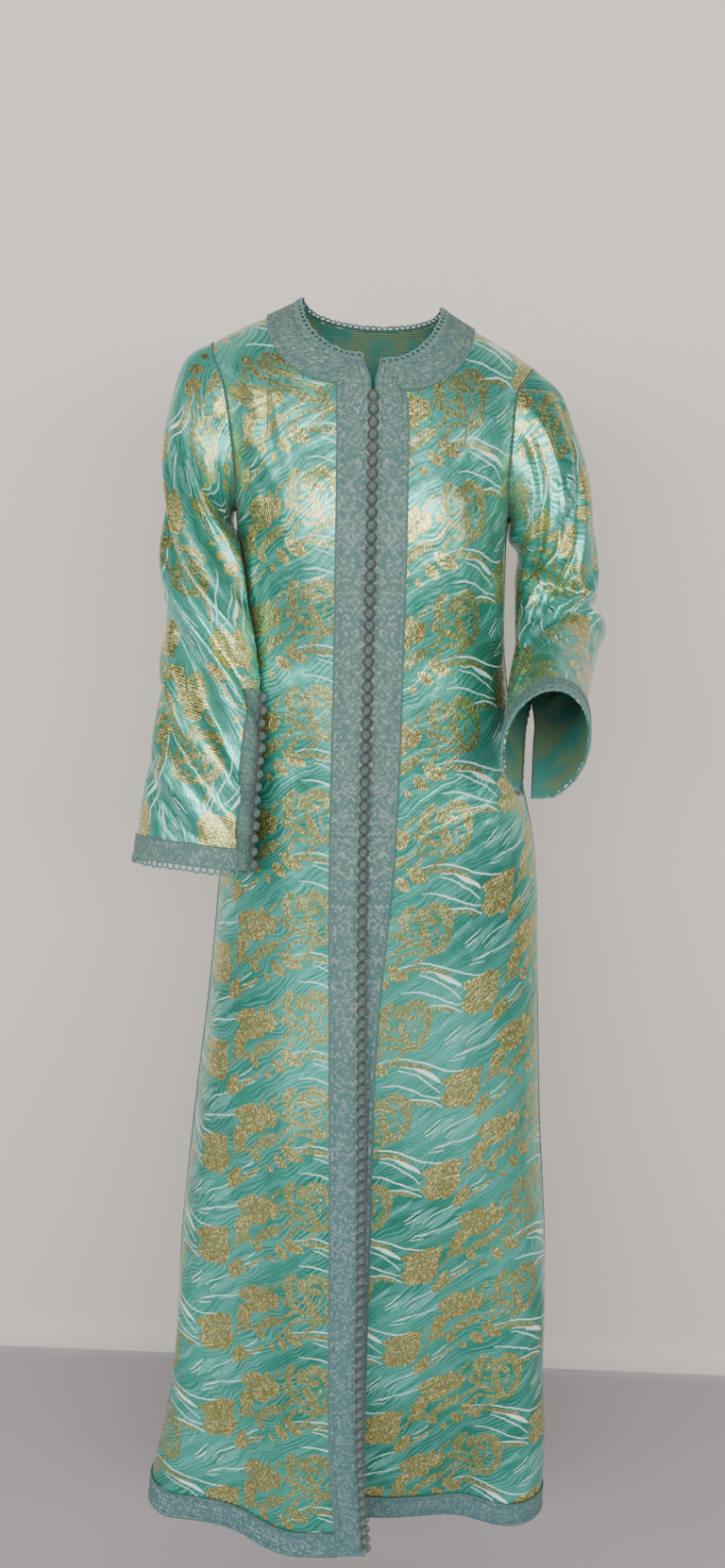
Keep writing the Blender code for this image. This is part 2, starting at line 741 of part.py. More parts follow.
def front_buttons(points, normals, material):
    """The knot buttons down the front, in groups, beside the right front's edge."""
    edge = points[:, 0]
    order = np.argsort(edge[:, 2])
    edge, outs = edge[order], normals[:, 0][order]
    group_length = BUTTONS_IN_GROUP * BUTTON_PITCH
    for g in range(BUTTON_GROUPS):
        top = FIRST_BUTTON - g * (group_length + 2 * SEAM_GAP)
        heights = np.linspace(top, top - group_length, BUTTON_STATIONS)
        path, ways = [], []
        for z in heights:
            point = np.array([np.interp(z, edge[:, 2], edge[:, k]) for k in range(3)])
            out = np.array((0.0, -1.0, 0.0))
            path.append(point + np.array((BUTTON_BESIDE_EDGE, 0.0, 0.0)) + out * BUTTON_RISE)
            ways.append(out)
        name = f"front_buttons_{g + 1}"
        bead_chain(name, np.array(path), np.array(ways), BUTTON_PITCH, material)


def neck_braid(fronts, material):
    """One braid round the neck, mitred to the front braids at both its ends."""
    first = BODY_ROWS + 2 + YOKE_ROWS
    lines, outs = [], []

    def front_part(side):
        points, normals = fronts[side]
        return list(points[first:, :3]), list(normals[first:, :3])

    right, right_out = front_part(-1)
    left, left_out = front_part(1)
    lines += right[:-1]
    outs += right_out[:-1]
    turns = np.linspace(-90, 90, NECK_BRAID_TURNS)
    for turn in turns:
        line, out = [], []
        for share in (0.0, 0.5, 1.0):
            half = NECK_HALF + NECK_BRAID * share
            x, z = back_neck(half, BACK_NECK_DROP + BACK_BRAID * share, turn)
            if abs(turn) == 90:
                line.append(np.array((x, 0.0, z)))
                out.append(ridge_normal(x))
                continue
            angle = angle_at(x, z, back=True)
            line.append(body_point(angle, z) + body_normal(angle, z) * NECK_BRAID_EASE)
            out.append(body_normal(angle, z))
        lines.append(np.array(line))
        outs.append(np.array(out))
    lines += left[:-1][::-1]
    outs += left_out[:-1][::-1]
    points = drawn_in(np.array(lines), 0, SEAM_GAP / 2, SEAM_GAP / 2)
    wall("neck_braid", points, np.array(outs), LIFT, LIFT + BRAID_THICK, material, flip=True)


def sleeve_trim(side, grid, material, knot):
    """The cuff braid, the two slit braids and the slit's knot buttons."""
    word, _, _, closed = SLEEVES[side]
    points, normals = grid
    flip = side < 0
    cuff = points[-2:, 1:-1]
    cuff = drawn_in(cuff, 1, SEAM_GAP, SEAM_GAP)
    braid(f"cuff_braid_{word}", cuff, normals[-2:, 1:-1], material, flip)
    for part, columns in (("front", slice(-2, None)), ("back", slice(0, 2))):
        strip = points[closed:, columns]
        braid(f"slit_braid_{word}_{part}", strip, normals[closed:, columns], material, flip)
    edge, outs = points[closed:, -1], normals[closed:, -1]
    away = points[closed:, -1] - points[closed:, -2]
    away = away / np.linalg.norm(away, axis=1, keepdims=True)
    path = edge + outs * BUTTON_RISE + away * BUTTON_BESIDE_EDGE
    path = np.array([body_outside(point, BUTTON_CLEARANCE) for point in path])
    length = np.linalg.norm(np.diff(path, axis=0), axis=1).sum()
    bead_chain(f"slit_buttons_{word}", path, outs, length / SLEEVE_BUTTONS, knot)


def build():
    """Makes every piece."""
    clear_scene()
    brocade = cloth_material("brocade", (0.16, 0.55, 0.50), 0.35, 0.2)
    tape = cloth_material("braid", (0.16, 0.33, 0.34), 0.6, 0.2)
    knot = cloth_material("knot_cord", (0.14, 0.32, 0.33), 0.55, 0.1)
    fronts = {side: front_grid(side) for side in (-1, 1)}
    back = back_grid()
    for side, word in ((-1, "right"), (1, "left")):
        points, normals = fronts[side]
        flip = side < 0
        wall(f"front_{word}", points, normals, -WALL, 0.0, brocade, flip=flip)
        corner = BODY_ROWS + 3 + YOKE_ROWS
        strip = drawn_in(points[:corner, :3], 0, 0.0, SEAM_GAP / 2)
        braid(f"front_braid_{word}", strip, normals[:corner, :3], tape, flip)
        hem = drawn_in(points[:2, 2:], 1, SEAM_GAP, 0.0)
        braid(f"hem_braid_{word}", hem, normals[:2, 2:], tape, flip)
    points, normals = back
    wall("back", points, normals, -WALL, 0.0, brocade)
    braid("hem_braid_back", points[:2], normals[:2], tape, False)
    neck_braid(fronts, tape)
    for side, (word, _, _, closed) in SLEEVES.items():
        grid = sleeve_grid(side, fronts[side], back)
        wall(f"sleeve_{word}", *grid, -WALL, 0.0, brocade, closed_rows=closed, flip=side < 0)
        sleeve_trim(side, grid, tape, knot)
    front_buttons(*fronts[-1], knot)


build()
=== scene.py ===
"""Looks of a Moroccan kaftan of aqua brocade, braided and buttoned, in its hollow worn form.

Metres, +Z up. The front faces -Y and the wearer's left is at +X. The origin lies midway
between the two points where the shoulder seams meet the neck.
"""

from __future__ import annotations

import logging
import math
from dataclasses import asdict, dataclass, replace
from enum import Enum
from functools import reduce
from typing import NamedTuple, Sequence

import bpy
import numpy as np
from mathutils import Matrix, Vector

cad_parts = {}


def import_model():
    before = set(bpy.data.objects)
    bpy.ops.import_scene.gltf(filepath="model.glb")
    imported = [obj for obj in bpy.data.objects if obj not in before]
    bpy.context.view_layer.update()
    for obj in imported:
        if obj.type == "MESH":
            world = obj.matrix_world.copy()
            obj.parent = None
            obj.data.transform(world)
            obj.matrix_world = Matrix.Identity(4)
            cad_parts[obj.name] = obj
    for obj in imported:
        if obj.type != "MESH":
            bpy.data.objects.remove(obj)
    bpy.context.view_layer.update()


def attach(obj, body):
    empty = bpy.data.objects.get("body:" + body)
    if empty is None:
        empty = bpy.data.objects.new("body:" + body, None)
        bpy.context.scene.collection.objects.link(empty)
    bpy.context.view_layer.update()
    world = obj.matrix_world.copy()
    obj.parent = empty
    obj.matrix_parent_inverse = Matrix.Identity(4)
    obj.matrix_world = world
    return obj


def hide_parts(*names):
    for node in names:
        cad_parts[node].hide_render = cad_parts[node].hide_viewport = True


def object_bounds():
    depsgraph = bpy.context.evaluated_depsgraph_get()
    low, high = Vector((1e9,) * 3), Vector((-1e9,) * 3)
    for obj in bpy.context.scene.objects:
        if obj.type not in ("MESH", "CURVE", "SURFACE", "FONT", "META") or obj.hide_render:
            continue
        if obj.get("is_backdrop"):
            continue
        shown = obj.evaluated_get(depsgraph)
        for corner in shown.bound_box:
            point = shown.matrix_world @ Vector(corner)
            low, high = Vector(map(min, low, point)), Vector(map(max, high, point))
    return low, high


LOG = logging.getLogger("kaftan")

Array = np.ndarray
Item = bpy.types.Object
Material = bpy.types.Material
Node = bpy.types.Node
Socket = bpy.types.NodeSocket
Tree = bpy.types.NodeTree

BODY = "root"
UV_NAME = "cloth"

LENGTH = 1.440
ARMPIT = -0.225
HEM_BRAID = 0.030
FRONT_BRAID = 0.033
NECK_BRAID = 0.031
BACK_BRAID = 0.030
NECK_HALF = 0.0785
NECK_TOP = -0.004
SHOULDER_TILT = 0.0255
SHOULDER_SLOPE = 0.525
SHOULDER_TIP = {-1: 0.170, 1: 0.178}
CAP_HEIGHT = 0.120
CAP_POWER = 2.2
SECTION_POWER = 2.3
V_BOTTOM = -0.088
V_CORNER_X = {-1: -0.007, 1: 0.012}
V_CORNER_Z = {-1: -0.066, 1: -0.071}
BACK_NECK_DROP = 0.020
MITRE_DROP = 0.026
YOKE_BRAID_DROP = 0.020
YOKE_SHARE = 0.50
NECK_SHARE = 0.42
ARMHOLE_TOP_SHARE = 0.2
ARMHOLE_GAP = 0.0009
SEAM_GAP = 0.0003
LEAST_CAP = 0.05
SLIT_HALF_ANGLE = {-1: 2.0, 1: 9.0}
SLIT_TOP = 0.585
SLIT_OPENING = 0.156
CUFF_TOP = 0.950
SEAM_HALF_ANGLE = 1.0
SLIT_BRAID_ANGLE = 24.0
HEAD_SHARE = 0.20
ARMPIT_HALF_ANGLE = 30.0
ARMPIT_BLEND_ANGLE = 40.0
BODY_CLEARANCE = 0.004
CLOTH = 0.0012
BRAID_THICK = 0.0015
LIFT = 0.0003
SIDE_WORD = {-1: "right", 1: "left"}
PATTERN_SHIFT = {-1: (0.144, 0.010), 1: (-0.052, 0.018)}


class Section(NamedTuple):
    """A level section of the body: where its middle is, how wide it is and how far it reaches."""

    z: float
    shift: float
    half: float
    seam_y: float
    front_right: float
    front_left: float
    back: float


class Edge(NamedTuple):
    """The right front's edge at a height, and how far short of it the left front stops."""

    z: float
    x: float
    gap: float


class Armhole(NamedTuple):
    """Share of the way down the armhole, and share of the half width that the cloth keeps."""

    drop: float
    front: float
    back: float


class Fold(NamedTuple):
    """A soft upright fold: where it stands round the body, its heights, size and spread."""

    angle: float
    drift: float
    top: float
    foot: float
    out: float
    spread: float


class Ring(NamedTuple):
    """A section of a sleeve, with outward as the way from the body to the arm's outer side."""

    along: float
    outward: float
    y: float
    z: float
    wide: float
    deep: float
    lean: float
    pitch: float
    turn: float
    seam: float


class Crease(NamedTuple):
    """A slanting fold on a sleeve."""

    along: float
    angle: float
    slant: float
    out: float
    length: float
    spread: float


class Drag(NamedTuple):
    """A soft crease on the body, from one place to another, bowed sideways by bow."""

    x: float
    z: float
    end_x: float
    end_z: float
    out: float
    spread: float
    bow: float


class Ripple(NamedTuple):
    """A small wave in the cloth: radians per metre across and up, its start and its size."""

    across: float
    up: float
    start: float
    size: float


def table(kind: type, *rows: tuple) -> tuple:
    """Rows of one kind, each from its values in the order of the kind's columns."""
    return tuple(kind(*row) for row in rows)


SECTIONS = table(
    Section,
    (-1.44, 0.025, 0.242, -0.05, 0.118, 0.056, 0.12),
    (-1.27, 0.036, 0.228, -0.042, 0.118, 0.076, 0.114),
    (-1.1, 0.036, 0.223, -0.034, 0.117, 0.09, 0.11),
    (-0.93, 0.034, 0.208, -0.026, 0.117, 0.103, 0.106),
    (-0.77, 0.035, 0.194, -0.02, 0.116, 0.109, 0.104),
    (-0.6, 0.033, 0.181, -0.014, 0.115, 0.1105, 0.102),
    (-0.49, 0.022, 0.165, -0.01, 0.114, 0.112, 0.092),
    (-0.38, 0.015, 0.151, -0.006, 0.117, 0.117, 0.082),
    (-0.3, 0.012, 0.149, -0.002, 0.126, 0.126, 0.088),
    (-0.215, 0.009, 0.151, 0.002, 0.132, 0.132, 0.096),
    (-0.15, 0.006, 0.158, 0.004, 0.122, 0.122, 0.101),
    (-0.1, 0.003, 0.166, 0.003, 0.11, 0.11, 0.1),
    (-0.05, 0, 0.185, 0.001, 0.098, 0.098, 0.094),
    (0.01, 0, 0.192, 0, 0.088, 0.088, 0.086),
)
EDGES = table(
    Edge,
    (-1.44, 0.052, -0.036),
    (-1.29, 0.038, -0.025),
    (-1.03, 0.029, -0.02),
    (-0.8, 0.02, -0.014),
    (-0.58, 0.0125, 0.004),
    (-0.35, 0.009, 0.006),
    (-0.13, 0.004, 0.006),
    (-0.088, 0.002, 0.006),
)
ARMHOLE = table(
    Armhole,
    (0, 0.92, 0.92),
    (0.2, 0.93, 0.93),
    (0.4, 0.945, 0.94),
    (0.6, 0.95, 0.948),
    (0.8, 0.968, 0.962),
    (0.92, 0.987, 0.985),
    (1, 1, 1),
)
FOLDS = table(
    Fold,
    (-16, 4, -0.75, -1.44, 0.006, 9),
    (-42, 6, -0.7, -1.44, -0.02, 13),
    (-66, -4, -0.85, -1.44, 0.009, 10),
    (24, 5, -0.8, -1.44, -0.005, 10),
    (44, 4, -0.6, -1.44, 0.007, 11),
    (60, 4, -0.95, -1.44, 0.024, 16),
    (112, 6, -0.66, -1.44, 0.01, 11),
    (138, -4, -0.78, -1.44, -0.014, 12),
    (164, 5, -0.58, -1.44, 0.011, 12),
    (190, -3, -0.8, -1.44, -0.012, 11),
    (216, 4, -0.62, -1.44, 0.012, 12),
    (244, -5, -0.84, -1.44, -0.01, 10),
)
RIGHT_RINGS = table(
    Ring,
    (0, 0.156, 0.002, -0.136, 0.09, 0.05, 81, 0, 0, 180),
    (0.06, 0.1715, 0.002, -0.147, 0.087, 0.054, 72, 0, 0, 180),
    (0.12, 0.18, 0.001, -0.173, 0.073, 0.056, 62, 0, 0, 180),
    (0.19, 0.18, -0.01, -0.203, 0.061, 0.057, 50, 2, 12, 180),
    (0.27, 0.17, -0.028, -0.24, 0.056, 0.057, 30, 3, 26, 180),
    (0.37, 0.166, -0.048, -0.3, 0.055, 0.052, 12, 6, 32, 182),
    (0.56, 0.158, -0.068, -0.398, 0.06, 0.046, 8, 10, 30, 186),
    (0.73, 0.163, -0.084, -0.484, 0.065, 0.042, 7, 11, 30, 188),
    (0.87, 0.17, -0.094, -0.548, 0.07, 0.041, 5, 12, 30, 190),
    (1, 0.174, -0.102, -0.607, 0.073, 0.042, 4, 13, 30, 190),
)
LEFT_RINGS = table(
    Ring,
    (0, 0.169, 0.002, -0.147, 0.087, 0.05, 83, 0, 0, 180),
    (0.06, 0.185, 0.002, -0.16, 0.08, 0.056, 72, 0, 0, 180),
    (0.12, 0.195, 0.003, -0.18, 0.07, 0.059, 62, 0, 0, 184),
    (0.19, 0.206, 0.004, -0.208, 0.058, 0.061, 46, 0, 0, 190),
    (0.27, 0.216, 0.006, -0.245, 0.044, 0.062, 22, 2, 0, 200),
    (0.37, 0.22, 0.009, -0.29, 0.045, 0.063, 2, 14, 0, 215),
    (0.5, 0.224, -0.004, -0.34, 0.047, 0.064, -4, 38, 2, 235),
    (0.64, 0.218, -0.05, -0.376, 0.044, 0.065, -5, 56, 4, 250),
    (0.8, 0.205, -0.114, -0.405, 0.042, 0.066, -4, 62, 4, 256),
    (1, 0.194, -0.2, -0.441, 0.042, 0.068, -3, 64, 4, 258),
)
RINGS = {-1: RIGHT_RINGS, 1: LEFT_RINGS}
CREASES = {
    -1: table(
        Crease,
        (0.3, 55, 0.16, -0.01, 0.035, 45),
        (0.4, 100, 0.18, 0.006, 0.035, 40),
        (0.5, 60, 0.1, -0.006, 0.035, 45),
        (0.62, 110, 0.16, -0.006, 0.05, 40),
        (0.8, 70, 0.14, 0.004, 0.06, 35),
        (0.45, 280, -0.12, -0.008, 0.04, 50),
        (0.66, 300, 0.1, -0.006, 0.05, 45),
    ),
    1: table(
        Crease,
        (0.24, 70, 0.14, -0.007, 0.03, 45),
        (0.34, 110, 0.16, 0.006, 0.03, 40),
        (0.44, 95, -0.12, -0.006, 0.03, 45),
        (0.54, 60, -0.1, 0.004, 0.032, 40),
        (0.62, 110, -0.1, -0.005, 0.03, 45),
        (0.5, 355, 0.06, 0.009, 0.035, 50),
        (0.4, 290, 0.1, -0.006, 0.035, 50),
    ),
}
FINE_CREASES = {
    -1: table(
        Crease,
        (0.26, 118, 0.2, -0.013, 0.03, 48),
        (0.33, 90, 0.2, 0.009, 0.016, 60),
        (0.41, 95, 0.24, -0.009, 0.02, 62),
        (0.47, 100, 0.24, 0.006, 0.013, 55),
        (0.56, 85, 0.24, -0.009, 0.032, 60),
        (0.66, 70, 0.22, 0.006, 0.02, 50),
        (0.75, 100, 0.2, -0.008, 0.03, 55),
        (0.86, 75, 0.18, -0.007, 0.026, 45),
        (0.3, 270, -0.24, -0.009, 0.02, 45),
        (0.4, 265, -0.22, 0.005, 0.014, 40),
        (0.52, 250, 0.26, -0.008, 0.02, 45),
        (0.74, 290, -0.22, -0.007, 0.022, 40),
    ),
    1: table(
        Crease,
        (0.24, 120, 0.4, -0.01, 0.028, 45),
        (0.36, 112, 0.48, 0.008, 0.016, 55),
        (0.45, 100, 0.4, -0.011, 0.024, 58),
        (0.54, 85, 0.27, 0.008, 0.016, 65),
        (0.62, 100, 0.24, -0.009, 0.018, 50),
        (0.74, 80, 0.16, 0.004, 0.013, 40),
        (0.79, 110, 0.18, -0.005, 0.014, 36),
        (0.44, 10, 0.12, -0.0076, 0.016, 40),
        (0.56, 330, -0.14, -0.0066, 0.016, 40),
        (0.3, 280, 0.24, -0.0085, 0.018, 40),
        (0.38, 285, 0.22, 0.005, 0.013, 36),
    ),
}
RIPPLES = table(
    Ripple,
    (61, 9, 0.4, 0.00075),
    (37, -14, 1.9, 0.00095),
    (23, 31, 3.1, 0.00055),
    (88, 21, 5, 0.00035),
    (14, 47, 0.9, 0.0005),
)
FRONT_DRAGS = table(
    Drag,
    (-0.128, -0.118, -0.082, -0.215, -0.003, 0.01, 0.01),
    (-0.136, -0.16, -0.092, -0.235, -0.0026, 0.008, 0.006),
    (-0.14, -0.205, -0.085, -0.262, -0.0022, 0.009, -0.006),
    (-0.118, -0.07, -0.1, -0.16, -0.002, 0.006, 0.004),
    (0.152, -0.12, 0.104, -0.205, -0.003, 0.01, -0.01),
    (0.158, -0.17, 0.108, -0.238, -0.0026, 0.008, -0.006),
    (0.15, -0.215, 0.116, -0.33, -0.003, 0.01, 0.008),
    (0.136, -0.26, 0.126, -0.44, -0.0024, 0.01, 0.004),
    (0.146, -0.33, 0.104, -0.42, 0.002, 0.01, 0.006),
    (-0.12, -0.3, -0.104, -0.47, -0.0022, 0.01, -0.004),
    (-0.03, -0.36, -0.086, -0.392, -0.0012, 0.007, 0.003),
    (-0.032, -0.47, -0.08, -0.5, -0.0012, 0.007, -0.003),
    (0.048, -0.352, 0.096, -0.378, -0.0012, 0.007, -0.003),
    (0.044, -0.455, 0.1, -0.48, -0.001, 0.007, 0.003),
    (-0.165, -0.98, -0.12, -0.93, -0.002, 0.012, 0.004),
    (-0.205, -1.33, -0.14, -1.29, -0.003, 0.012, 0.006),
    (-0.205, -1.385, -0.13, -1.36, 0.0026, 0.012, -0.004),
    (-0.2, -1.285, -0.15, -1.23, 0.0022, 0.01, 0.004),
    (0.246, -1.26, 0.19, -1.33, -0.0026, 0.012, -0.006),
    (0.25, -1.34, 0.18, -1.395, 0.0022, 0.012, 0.004),
    (0.23, -1.13, 0.19, -1.2, -0.002, 0.012, 0.004),
    (0.09, -0.78, 0.15, -0.7, -0.0016, 0.014, 0.008),
    (-0.06, -0.64, -0.12, -0.72, -0.0014, 0.014, 0.006),
)
BACK_DRAGS = table(
    Drag,
    (-0.13, -0.13, -0.08, -0.22, -0.003, 0.01, 0.01),
    (0.14, -0.125, 0.09, -0.21, -0.003, 0.01, -0.01),
    (-0.138, -0.2, -0.07, -0.3, -0.0026, 0.01, 0.006),
    (0.146, -0.21, 0.08, -0.31, -0.0026, 0.01, -0.006),
    (-0.11, -0.37, -0.04, -0.4, -0.003, 0.012, 0.006),
    (0.13, -0.385, 0.05, -0.372, -0.003, 0.012, -0.006),
    (-0.06, -0.42, 0.06, -0.435, 0.0024, 0.012, 0.004),
    (-0.09, -0.6, -0.13, -0.76, -0.0022, 0.012, 0.006),
    (0.12, -0.62, 0.16, -0.78, -0.0022, 0.012, -0.006),
    (-0.19, -1.33, -0.12, -1.27, -0.003, 0.012, 0.006),
    (0.23, -1.35, 0.15, -1.29, -0.003, 0.012, -0.006),
    (0.02, -1.15, 0.07, -1.3, 0.0022, 0.012, 0.006),
)


def powered(value: Array, power: float) -> Array:
    """A power that keeps the sign."""
    return np.sign(value) * np.abs(value) ** power


def bump(distance: Array) -> Array:
    """A soft bell, 1 at the middle and 0 from one spread away."""
    return np.where(np.abs(distance) < 1, (1 - distance * distance) ** 2, 0.0)


def ease(share: Array) -> Array:
    """Goes smoothly from 0 to 1."""
    share = np.clip(share, 0.0, 1.0)
    return share * share * (3 - 2 * share)


def sine_cosine(angle: Array) -> tuple:
    """The sine and cosine of angles in degrees."""
    turn = np.radians(angle)
    return np.sin(turn), np.cos(turn)


def unit(vectors: Array) -> Array:
    """Vectors at length 1."""
    return vectors / np.maximum(np.linalg.norm(vectors, axis=-1, keepdims=True), 1e-12)


def arc(points: Array, axis: int = 0) -> Array:
    """Lengths along lines of points.

    Args:
        points: Points, with the lines along one axis.
        axis: The axis that the lines run along.

    Returns:
        The length from each line's start to each of its points, in metres.
    """
    steps = np.linalg.norm(np.diff(points, axis=axis), axis=-1)
    total = np.cumsum(steps, axis=axis)
    first = np.zeros_like(np.take(total, [0], axis=axis))
    return np.concatenate([first, total], axis=axis)


def read_at(wanted: Array, places: Array, values: Array) -> Array:
    """Rows of x, y and z, given at some places, read at the wanted ones."""
    return np.stack([np.interp(wanted, places, values[:, k]) for k in range(3)], axis=-1)


class Profile:
    """A smooth curve through one column of a table, read at any place along it."""

    def __init__(self, rows: Sequence[NamedTuple], column: str) -> None:
        """Takes the column's values and works out the curve's slopes.

        Args:
            rows: The table; its first column is the place.
            column: The name of the column to read.
        """
        self.places = np.array([row[0] for row in rows])
        self.values = np.array([getattr(row, column) for row in rows])
        before = np.maximum(np.arange(len(rows)) - 1, 0)
        after = np.minimum(np.arange(len(rows)) + 1, len(rows) - 1)
        rise = self.values[after] - self.values[before]
        self.slopes = rise / (self.places[after] - self.places[before])

    def __call__(self, at: Array) -> Array:
        """Reads the curve.

        Args:
            at: Places along it.

        Returns:
            The column's value at each.
        """
        at = np.clip(at, self.places[0], self.places[-1])
        i = np.clip(np.searchsorted(self.places, at, side="right") - 1, 0, len(self.places) - 2)
        span = self.places[i + 1] - self.places[i]
        t = (at - self.places[i]) / span
        first, second = self.values[i], self.values[i + 1]
        rise = first * (2 * t**3 - 3 * t**2 + 1) + second * (3 * t**2 - 2 * t**3)
        turn = self.slopes[i] * (t**3 - 2 * t**2 + t) + self.slopes[i + 1] * (t**3 - t**2)
        return rise + span * turn


class BodyForm:
    """The outer face of the cloth round the body, as one smooth form."""

    def __init__(self) -> None:
        """Makes a curve for each column of the body's tables."""
        names = Section._fields[1:]
        self.section = {name: Profile(SECTIONS, name) for name in names}
        self.edge_x = Profile(EDGES, "x")
        self.edge_gap = Profile(EDGES, "gap")
        self.armhole = {name: Profile(ARMHOLE, name) for name in ("front", "back")}

    def shoulder_height(self, x: Array) -> Array:
        """Height of the shoulder line, which drops outside the neck and leans to the left."""
        outside = np.maximum(0.0, np.abs(x) - NECK_HALF)
        return NECK_TOP - SHOULDER_TILT * x - SHOULDER_SLOPE * outside

    def shoulder_cap(self, x: Array, z: Array) -> Array:
        """How much of its full depth the body has this far below the shoulder line."""
        drop = np.clip((self.shoulder_height(x) - z) / CAP_HEIGHT, 0.0, 1.0)
        return (1 - (1 - drop) ** CAP_POWER) ** (1 / CAP_POWER)

    def fold_reach(self, angle: Array, z: Array) -> Array:
        """How far the upright folds move the cloth outwards.

        Args:
            angle: Angles round the body in degrees.
            z: Heights.

        Returns:
            The reach at each place, in metres.
        """
        reach = np.zeros(np.broadcast(angle, z).shape)
        for fold in FOLDS:
            share = ease((fold.top - z) / (fold.top - fold.foot))
            middle = fold.angle + fold.drift * share
            away = (angle - middle + 180.0) % 360.0 - 180.0
            reach = reach + fold.out * share * bump(away / (2 * fold.spread))
        return reach

    def point(self, angle: Array, z: Array, side: int = 0) -> Array:
        """The cloth's outer face at an angle round the body, where 0 is front and 90 is left.

        Args:
            angle: Angles in degrees.
            z: Heights in metres.
            side: Which of the two fronts is meant, which differ below the hip.

        Returns:
            Points, with x, y and z last.
        """
        angle, z = np.broadcast_arrays(np.asarray(angle, float), np.asarray(z, float))
        sine, cosine = sine_cosine(angle)
        half, seam_y = self.section["half"](z), self.section["seam_y"](z)
        left = np.full(z.shape, side > 0) if side else sine > 0
        front = np.where(left, self.section["front_left"](z), self.section["front_right"](z))
        depth = np.where(cosine > 0, front, self.section["back"](z))
        across, ahead = powered(sine, 2 / SECTION_POWER), powered(cosine, 2 / SECTION_POWER)
        steep = SECTION_POWER - 1
        away = np.stack([powered(across, steep) / half, -powered(ahead, steep) / depth], axis=-1)
        away = unit(away) * self.fold_reach(angle, z)[..., None]
        x = self.section["shift"](z) + half * across + away[..., 0]
        y = seam_y - depth * ahead + away[..., 1]
        return np.stack([x, y * self.shoulder_cap(x, z), z], axis=-1)

    def angle_at(self, x: Array, z: Array, back: bool = False) -> Array:
        """The angle round the body at which the cloth has this x, without its folds.

        Args:
            x: The places' x.
            z: Their heights.
            back: Whether they are on the back.

        Returns:
            The angles in degrees.
        """
        share = (x - self.section["shift"](z)) / self.section["half"](z)
        angle = np.degrees(np.arcsin(powered(np.clip(share, -1.0, 1.0), SECTION_POWER / 2)))
        return 180.0 - angle if back else angle

    def front_edge(self, side: int, z: Array) -> Array:
        """x of a front's edge at a height."""
        x = self.edge_x(z)
        return x + self.edge_gap(z) if side > 0 else x

    def armhole_place(self, side: int, drop: Array, back: bool = False) -> tuple:
        """Where the armhole lies, this share of the way from the shoulder tip to the armpit.

        Args:
            side: The sleeve's side.
            drop: Shares of the way down.
            back: Whether the back half of the armhole is meant.

        Returns:
            The angles round the body and the heights.
        """
        tip = side * SHOULDER_TIP[side]
        top = self.shoulder_height(np.array(tip))
        z = top + drop * (ARMPIT - top)
        share = self.armhole["back" if back else "front"](drop)
        x = self.section["shift"](z) + side * share * self.section["half"](z)
        x = x + (tip - x) * np.maximum(0.0, 1 - drop / ARMHOLE_TOP_SHARE) ** 2
        return self.angle_at(x, z, back), z

    def outside(self, points: Array, clearance: float) -> Array:
        """Moves points that are in or near the body out of it, without changing their height.

        Args:
            points: The points.
            clearance: How far outside they have to be.

        Returns:
            The points, moved.
        """
        x, y, z = points[..., 0], points[..., 1], points[..., 2]
        shift, seam_y = self.section["shift"](z), self.section["seam_y"](z)
        half = self.section["half"](z) + clearance
        front = np.where(x > shift, self.section["front_left"](z), self.section["front_right"](z))
        depth = np.where(y > seam_y, self.section["back"](z), front)
        depth = depth * np.maximum(self.shoulder_cap(x, z), LEAST_CAP) + clearance
        across, ahead = np.abs((x - shift) / half), np.abs((y - seam_y) / depth)
        size = (across**SECTION_POWER + ahead**SECTION_POWER) ** (1 / SECTION_POWER)
        size = np.minimum(np.maximum(size, 1e-6), 1.0)
        return np.stack([shift + (x - shift) / size, seam_y + (y - seam_y) / size, z], axis=-1)


def ridge_normal(x: Array) -> Array:
    """Straight out from the shoulder seam."""
    slope = SHOULDER_TILT + np.sign(x) * SHOULDER_SLOPE
    return unit(np.stack([slope, np.zeros_like(x), np.ones_like(x)], axis=-1))


def grid_normals(points: Array, wraps: bool = False, turn: float = 1.0) -> Array:
    """Outward directions of a grid of points, from each point's neighbours.

    Args:
        points: Rows by columns of points.
        wraps: Whether the last column joins the first.
        turn: 1 or -1, to face the other way.

    Returns:
        A direction for each point.
    """
    down = np.gradient(points, axis=0)
    if wraps:
        across = np.roll(points, -1, axis=1) - np.roll(points, 1, axis=1)
    else:
        across = np.gradient(points, axis=1)
    return unit(np.cross(across, down) * turn)


def neck_curve(side: int, turn: Array) -> tuple:
    """The front neckline, from the V's corner to the shoulder seam.

    Args:
        side: Which front.
        turn: How far along it, from 0 to 90.

    Returns:
        The x and z of the places.
    """
    end_x = side * NECK_HALF
    end_z = NECK_TOP - SHOULDER_TILT * end_x
    sine, cosine = sine_cosine(turn)
    x = V_CORNER_X[side] + (end_x - V_CORNER_X[side]) * sine
    return x, V_CORNER_Z[side] + (end_z - V_CORNER_Z[side]) * (1 - cosine)


